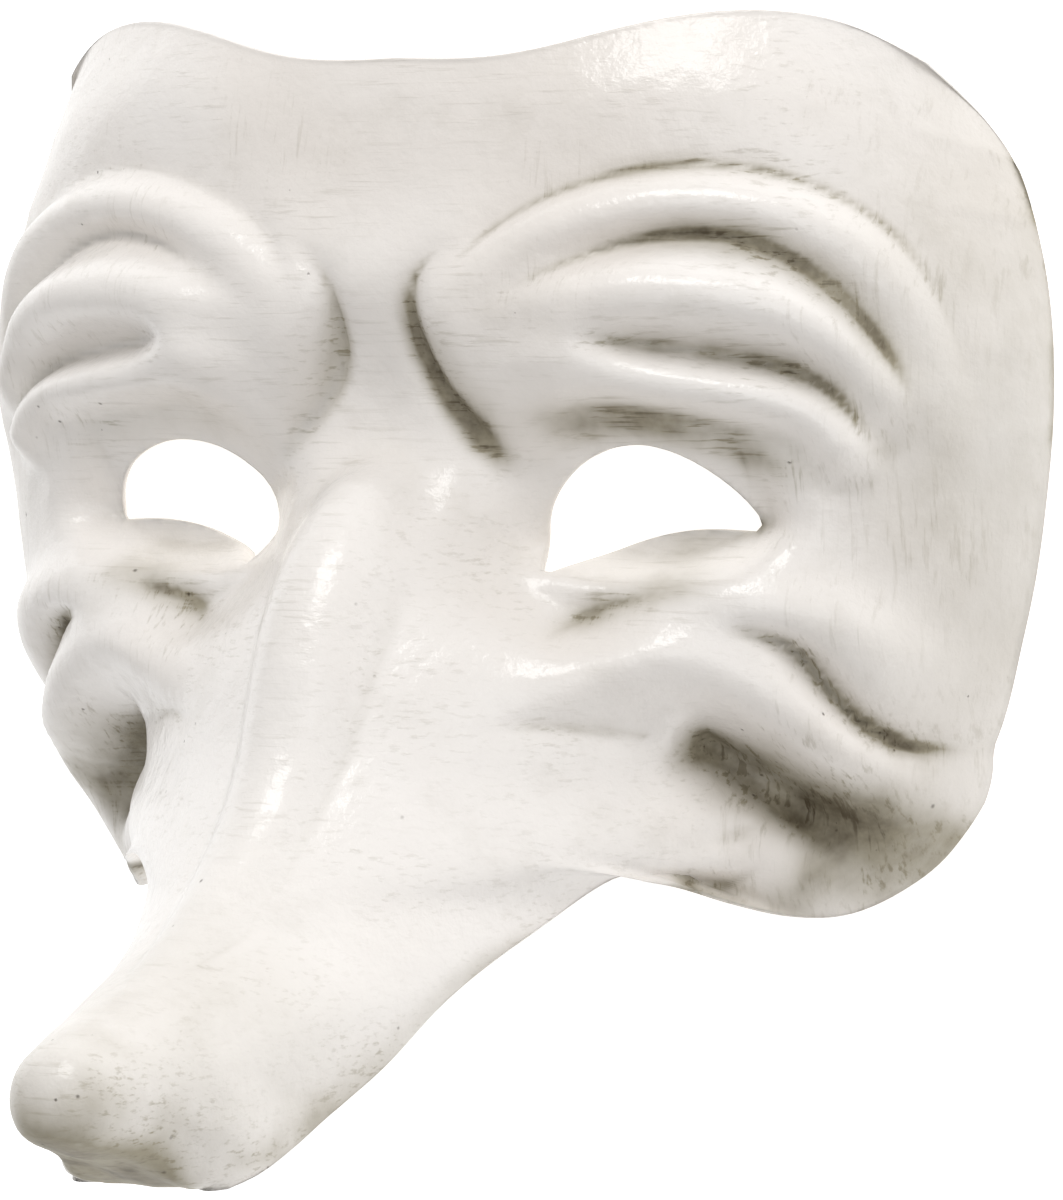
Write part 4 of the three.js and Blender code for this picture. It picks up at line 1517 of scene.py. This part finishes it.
    def darker_sides_tip_and_mottle(
        self, nodes: NodeTree, place: bpy.types.NodeSocket, cloud: bpy.types.NodeSocket
    ) -> bpy.types.NodeSocket:
        """Works out the darkening towards the sides and towards the nose tip, and the mottle all over.

        Args:
            nodes: the material's tree.
            place: place on the piece.
            cloud: broad uneven pattern.

        Returns:
            Its share, 0 to 1.
        """
        x, _, z = nodes.parts("ShaderNodeSeparateXYZ", place)
        side = nodes.ramp(nodes.math("ABSOLUTE", x), *self.side_span)
        tip = nodes.math("MULTIPLY", nodes.ramp(z, *self.tip_span), self.tip_share)
        thin = nodes.math("MULTIPLY", nodes.math("MAXIMUM", side, tip), cloud)
        mottle = nodes.ramp(nodes.noise(place, self.mottle_scale, 6.0, 0.7), *self.mottle_span)
        mottle = nodes.math("MULTIPLY", mottle, self.mottle_share)
        return nodes.math("MULTIPLY_ADD", thin, self.side_and_tip_share, mottle)

    def colour(
        self, nodes: NodeTree, place: bpy.types.NodeSocket, lines: bpy.types.NodeSocket,
        fold_wash_and_shade: bpy.types.NodeSocket, film: bpy.types.NodeSocket, spots: bpy.types.NodeSocket,
    ) -> bpy.types.NodeSocket:
        """Lays the colours over each other: white, cream, wash with painted shade, the darkest wash and
        painted shade, and pin holes.

        Args:
            nodes: the material's tree.
            place: place on the piece.
            lines: brush streaks.
            fold_wash_and_shade: share of wash and painted shade that sits in the folds.
            film: share of wash and painted shade over all.
            spots: pin holes.

        Returns:
            The colour.
        """
        tone = nodes.ramp(nodes.noise(place, self.cream_scale, 3.0), *self.cream_span)
        colour = nodes.mix(tone, self.white, self.cream)
        # Mixes in the wash colour, which also paints the shade in the folds.
        colour = nodes.mix(nodes.math("MULTIPLY", film, self.film_cover), colour, self.wash)
        grain = nodes.noise(place, self.grain_scale, 4.0, 0.7)
        grain = nodes.math("MULTIPLY_ADD", lines, self.grain_streaks, grain)
        grain = nodes.ramp(grain, *self.grain_span)
        # The darkest wash and painted shade, deepest in the folds.
        deep = nodes.math("MULTIPLY", nodes.ramp(fold_wash_and_shade, *self.deep_span), grain)
        colour = nodes.mix(nodes.math("MULTIPLY", deep, self.deep_cover), colour, self.dark)
        return nodes.mix(nodes.math("MULTIPLY", spots, self.pit_cover), colour, self.dark)


@dataclass(frozen=True)
class BarePaper:
    """The inside: bare glued paper strips, dull and a little brown with paste."""

    name: str = "bare_paper"
    pale: Colour = (0.62, 0.57, 0.48, 1)
    pasty: Colour = (0.44, 0.37, 0.27, 1)
    roughness: float = 0.8
    strip_scale: float = 42
    strip_stretch: tuple[float, float, float] = (1.0, 1.9, 1.3)
    strip_share: float = 0.6
    strip_height: float = 0.8
    cloud_scale: float = 90
    cloud_height: float = 0.5
    streak_patchiness: float = 0.5
    streak_cover: float = 0.35
    bump_strength: float = 0.5
    bump_height: float = 0.0005

    def build(self, streaks: NodeGroup) -> bpy.types.Material:
        """Builds the material.

        Args:
            streaks: the brush streak group.

        Returns:
            The finished material.
        """
        material, nodes, shader = new_material(self.name)
        place = nodes.node("ShaderNodeTexCoord").outputs["Object"]
        strips = nodes.node("ShaderNodeTexVoronoi", feature="F1", distance="CHEBYCHEV")
        nodes.feed(strips.inputs["Vector"], nodes.stretch(place, self.strip_stretch))
        strips.inputs["Scale"].default_value = self.strip_scale
        tint = nodes.parts("ShaderNodeSeparateColor", strips.outputs["Color"])[0]
        cloud = nodes.noise(place, self.cloud_scale, 2.0)
        lines = streaks.placed(nodes, Place=place, Patchiness=self.streak_patchiness)["Streaks"]
        share = nodes.math("MULTIPLY", cloud, 1 - self.strip_share)
        share = nodes.math("MULTIPLY_ADD", tint, self.strip_share, share)
        colour = nodes.mix(share, self.pale, self.pasty)
        colour = nodes.mix(nodes.math("MULTIPLY", lines, self.streak_cover), colour, self.pasty)
        nodes.feed(shader.inputs["Base Color"], colour)
        shader.inputs["Roughness"].default_value = self.roughness
        height = nodes.math("MULTIPLY", cloud, self.cloud_height)
        height = nodes.math("MULTIPLY_ADD", tint, self.strip_height, height)
        nodes.feed(shader.inputs["Normal"], nodes.bump(height, self.bump_strength, self.bump_height))
        return material


@dataclass(frozen=True)
class Lamp:
    """One soft square lamp that faces the mask."""

    name: str
    place: tuple[float, float, float]
    size: float
    power: float
    aim: tuple[float, float, float] = (0, 0, 0.04)

    def build(self) -> None:
        """Hangs the lamp in the scene."""
        lamp = bpy.data.lights.new(self.name, "AREA")
        lamp.size = self.size
        lamp.energy = self.power
        holder = bpy.data.objects.new(self.name, lamp)
        holder.location = self.place
        way = Vector(self.aim) - Vector(self.place)
        holder.rotation_euler = way.to_track_quat("-Z", "Y").to_euler()
        bpy.context.scene.collection.objects.link(holder)


@dataclass(frozen=True)
class Studio:
    """A pale floor, soft lights and the camera that looks down at the photograph's angle."""

    lamps: tuple[Lamp, ...] = (
        Lamp("window_lamp", (0.15, 1.9, 1.2), size=0.9, power=18.0),
        Lamp("front_lamp", (1.1, 0.4, 1.8), size=1.4, power=7.5),
    )
    air_light: float = 0.54
    floor_half: float = 3.0
    floor_tone: float = 0.86
    floor_roughness: float = 0.9
    floor_glow: float = 0.7
    turn: float = 29.0
    rise: float = 2.6
    distance: float = 1.0
    target: tuple[float, float, float] = (17.75, -11.26, 30.0)
    frame_height: int = 1200
    focal_pixels: float = 7287.0
    sensor: float = 36.0
    farthest: float = 20.0

    def floor(self) -> bpy.types.Object:
        """Lays the pale floor that the mask lies on.

        Returns:
            The floor.
        """
        sheet = bmesh.new()
        bmesh.ops.create_grid(sheet, x_segments=1, y_segments=1, size=self.floor_half)
        mesh = bpy.data.meshes.new("studio_floor")
        sheet.to_mesh(mesh)
        sheet.free()
        material, _, shader = new_material("pale_floor")
        shader.inputs["Base Color"].default_value = (self.floor_tone, self.floor_tone, self.floor_tone, 1)
        shader.inputs["Roughness"].default_value = self.floor_roughness
        shader.inputs["Emission Color"].default_value = (1, 1, 1, 1)
        shader.inputs["Emission Strength"].default_value = self.floor_glow
        mesh.materials.append(material)
        floor = bpy.data.objects.new("studio_floor", mesh)
        bpy.context.scene.collection.objects.link(floor)
        floor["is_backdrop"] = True
        return floor

    def lights(self) -> None:
        """Lights the mask from the forehead side, with a weak fill all round."""
        for lamp in self.lamps:
            lamp.build()
        world = bpy.data.worlds.new("studio_air")
        world.use_nodes = True
        air = world.node_tree.nodes["Background"]
        air.inputs["Color"].default_value = (1, 1, 1, 1)
        air.inputs["Strength"].default_value = self.air_light
        bpy.context.scene.world = world
        bpy.context.scene.view_settings.view_transform = "Standard"

    def camera(self, shift_y: float) -> None:
        """Sets up the camera.

        Args:
            shift_y: how far the mask's plan is moved along Y in the frame, in millimetres.
        """
        turn = math.radians(self.turn)
        rise = math.radians(self.rise)
        back = Vector((
            math.sin(turn) * math.cos(rise), math.sin(rise), math.cos(turn) * math.cos(rise),
        ))
        right = Vector((math.cos(turn), 0, -math.sin(turn)))
        up = back.cross(right)
        place = (Vector(self.target) + Vector((0, shift_y, 0))) * MM + back * self.distance
        lens = bpy.data.cameras.new("photo_camera")
        lens.sensor_fit = "VERTICAL"
        lens.sensor_height = self.sensor
        lens.lens = self.sensor * self.focal_pixels / self.frame_height
        lens.clip_end = self.farthest
        holder = bpy.data.objects.new("photo_camera", lens)
        axes = Matrix((right, up, back)).transposed()
        holder.matrix_world = Matrix.Translation(place) @ axes.to_4x4()
        bpy.context.scene.collection.objects.link(holder)
        bpy.context.scene.camera = holder


def main() -> None:
    """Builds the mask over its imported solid, then the studio around it."""
    logging.basicConfig(level=logging.INFO, format="%(name)s: %(message)s")
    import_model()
    cad_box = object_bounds()
    top_y = cad_box[1][1] / MM
    shell = PaperShell(shift_y=top_y - float(MaskPlan.TOP_EDGE.values.max()))
    piece = shell.build()
    streaks = BrushStreaks().build()
    finishes = {
        Side.OUTER: VarnishedPaint().build(streaks, PaintPits().build()),
        Side.INNER: BarePaper().build(streaks),
    }
    for side in Side:
        piece.data.materials.append(finishes[side])
    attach(piece, "root")
    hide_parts("mask_shell")
    LOG.info("%s: %d points, %d faces", piece.name, len(piece.data.vertices), len(piece.data.polygons))
    studio = Studio()
    studio.floor()
    studio.lights()
    studio.camera(shell.shift_y)


if __name__ == "__main__":
    main()
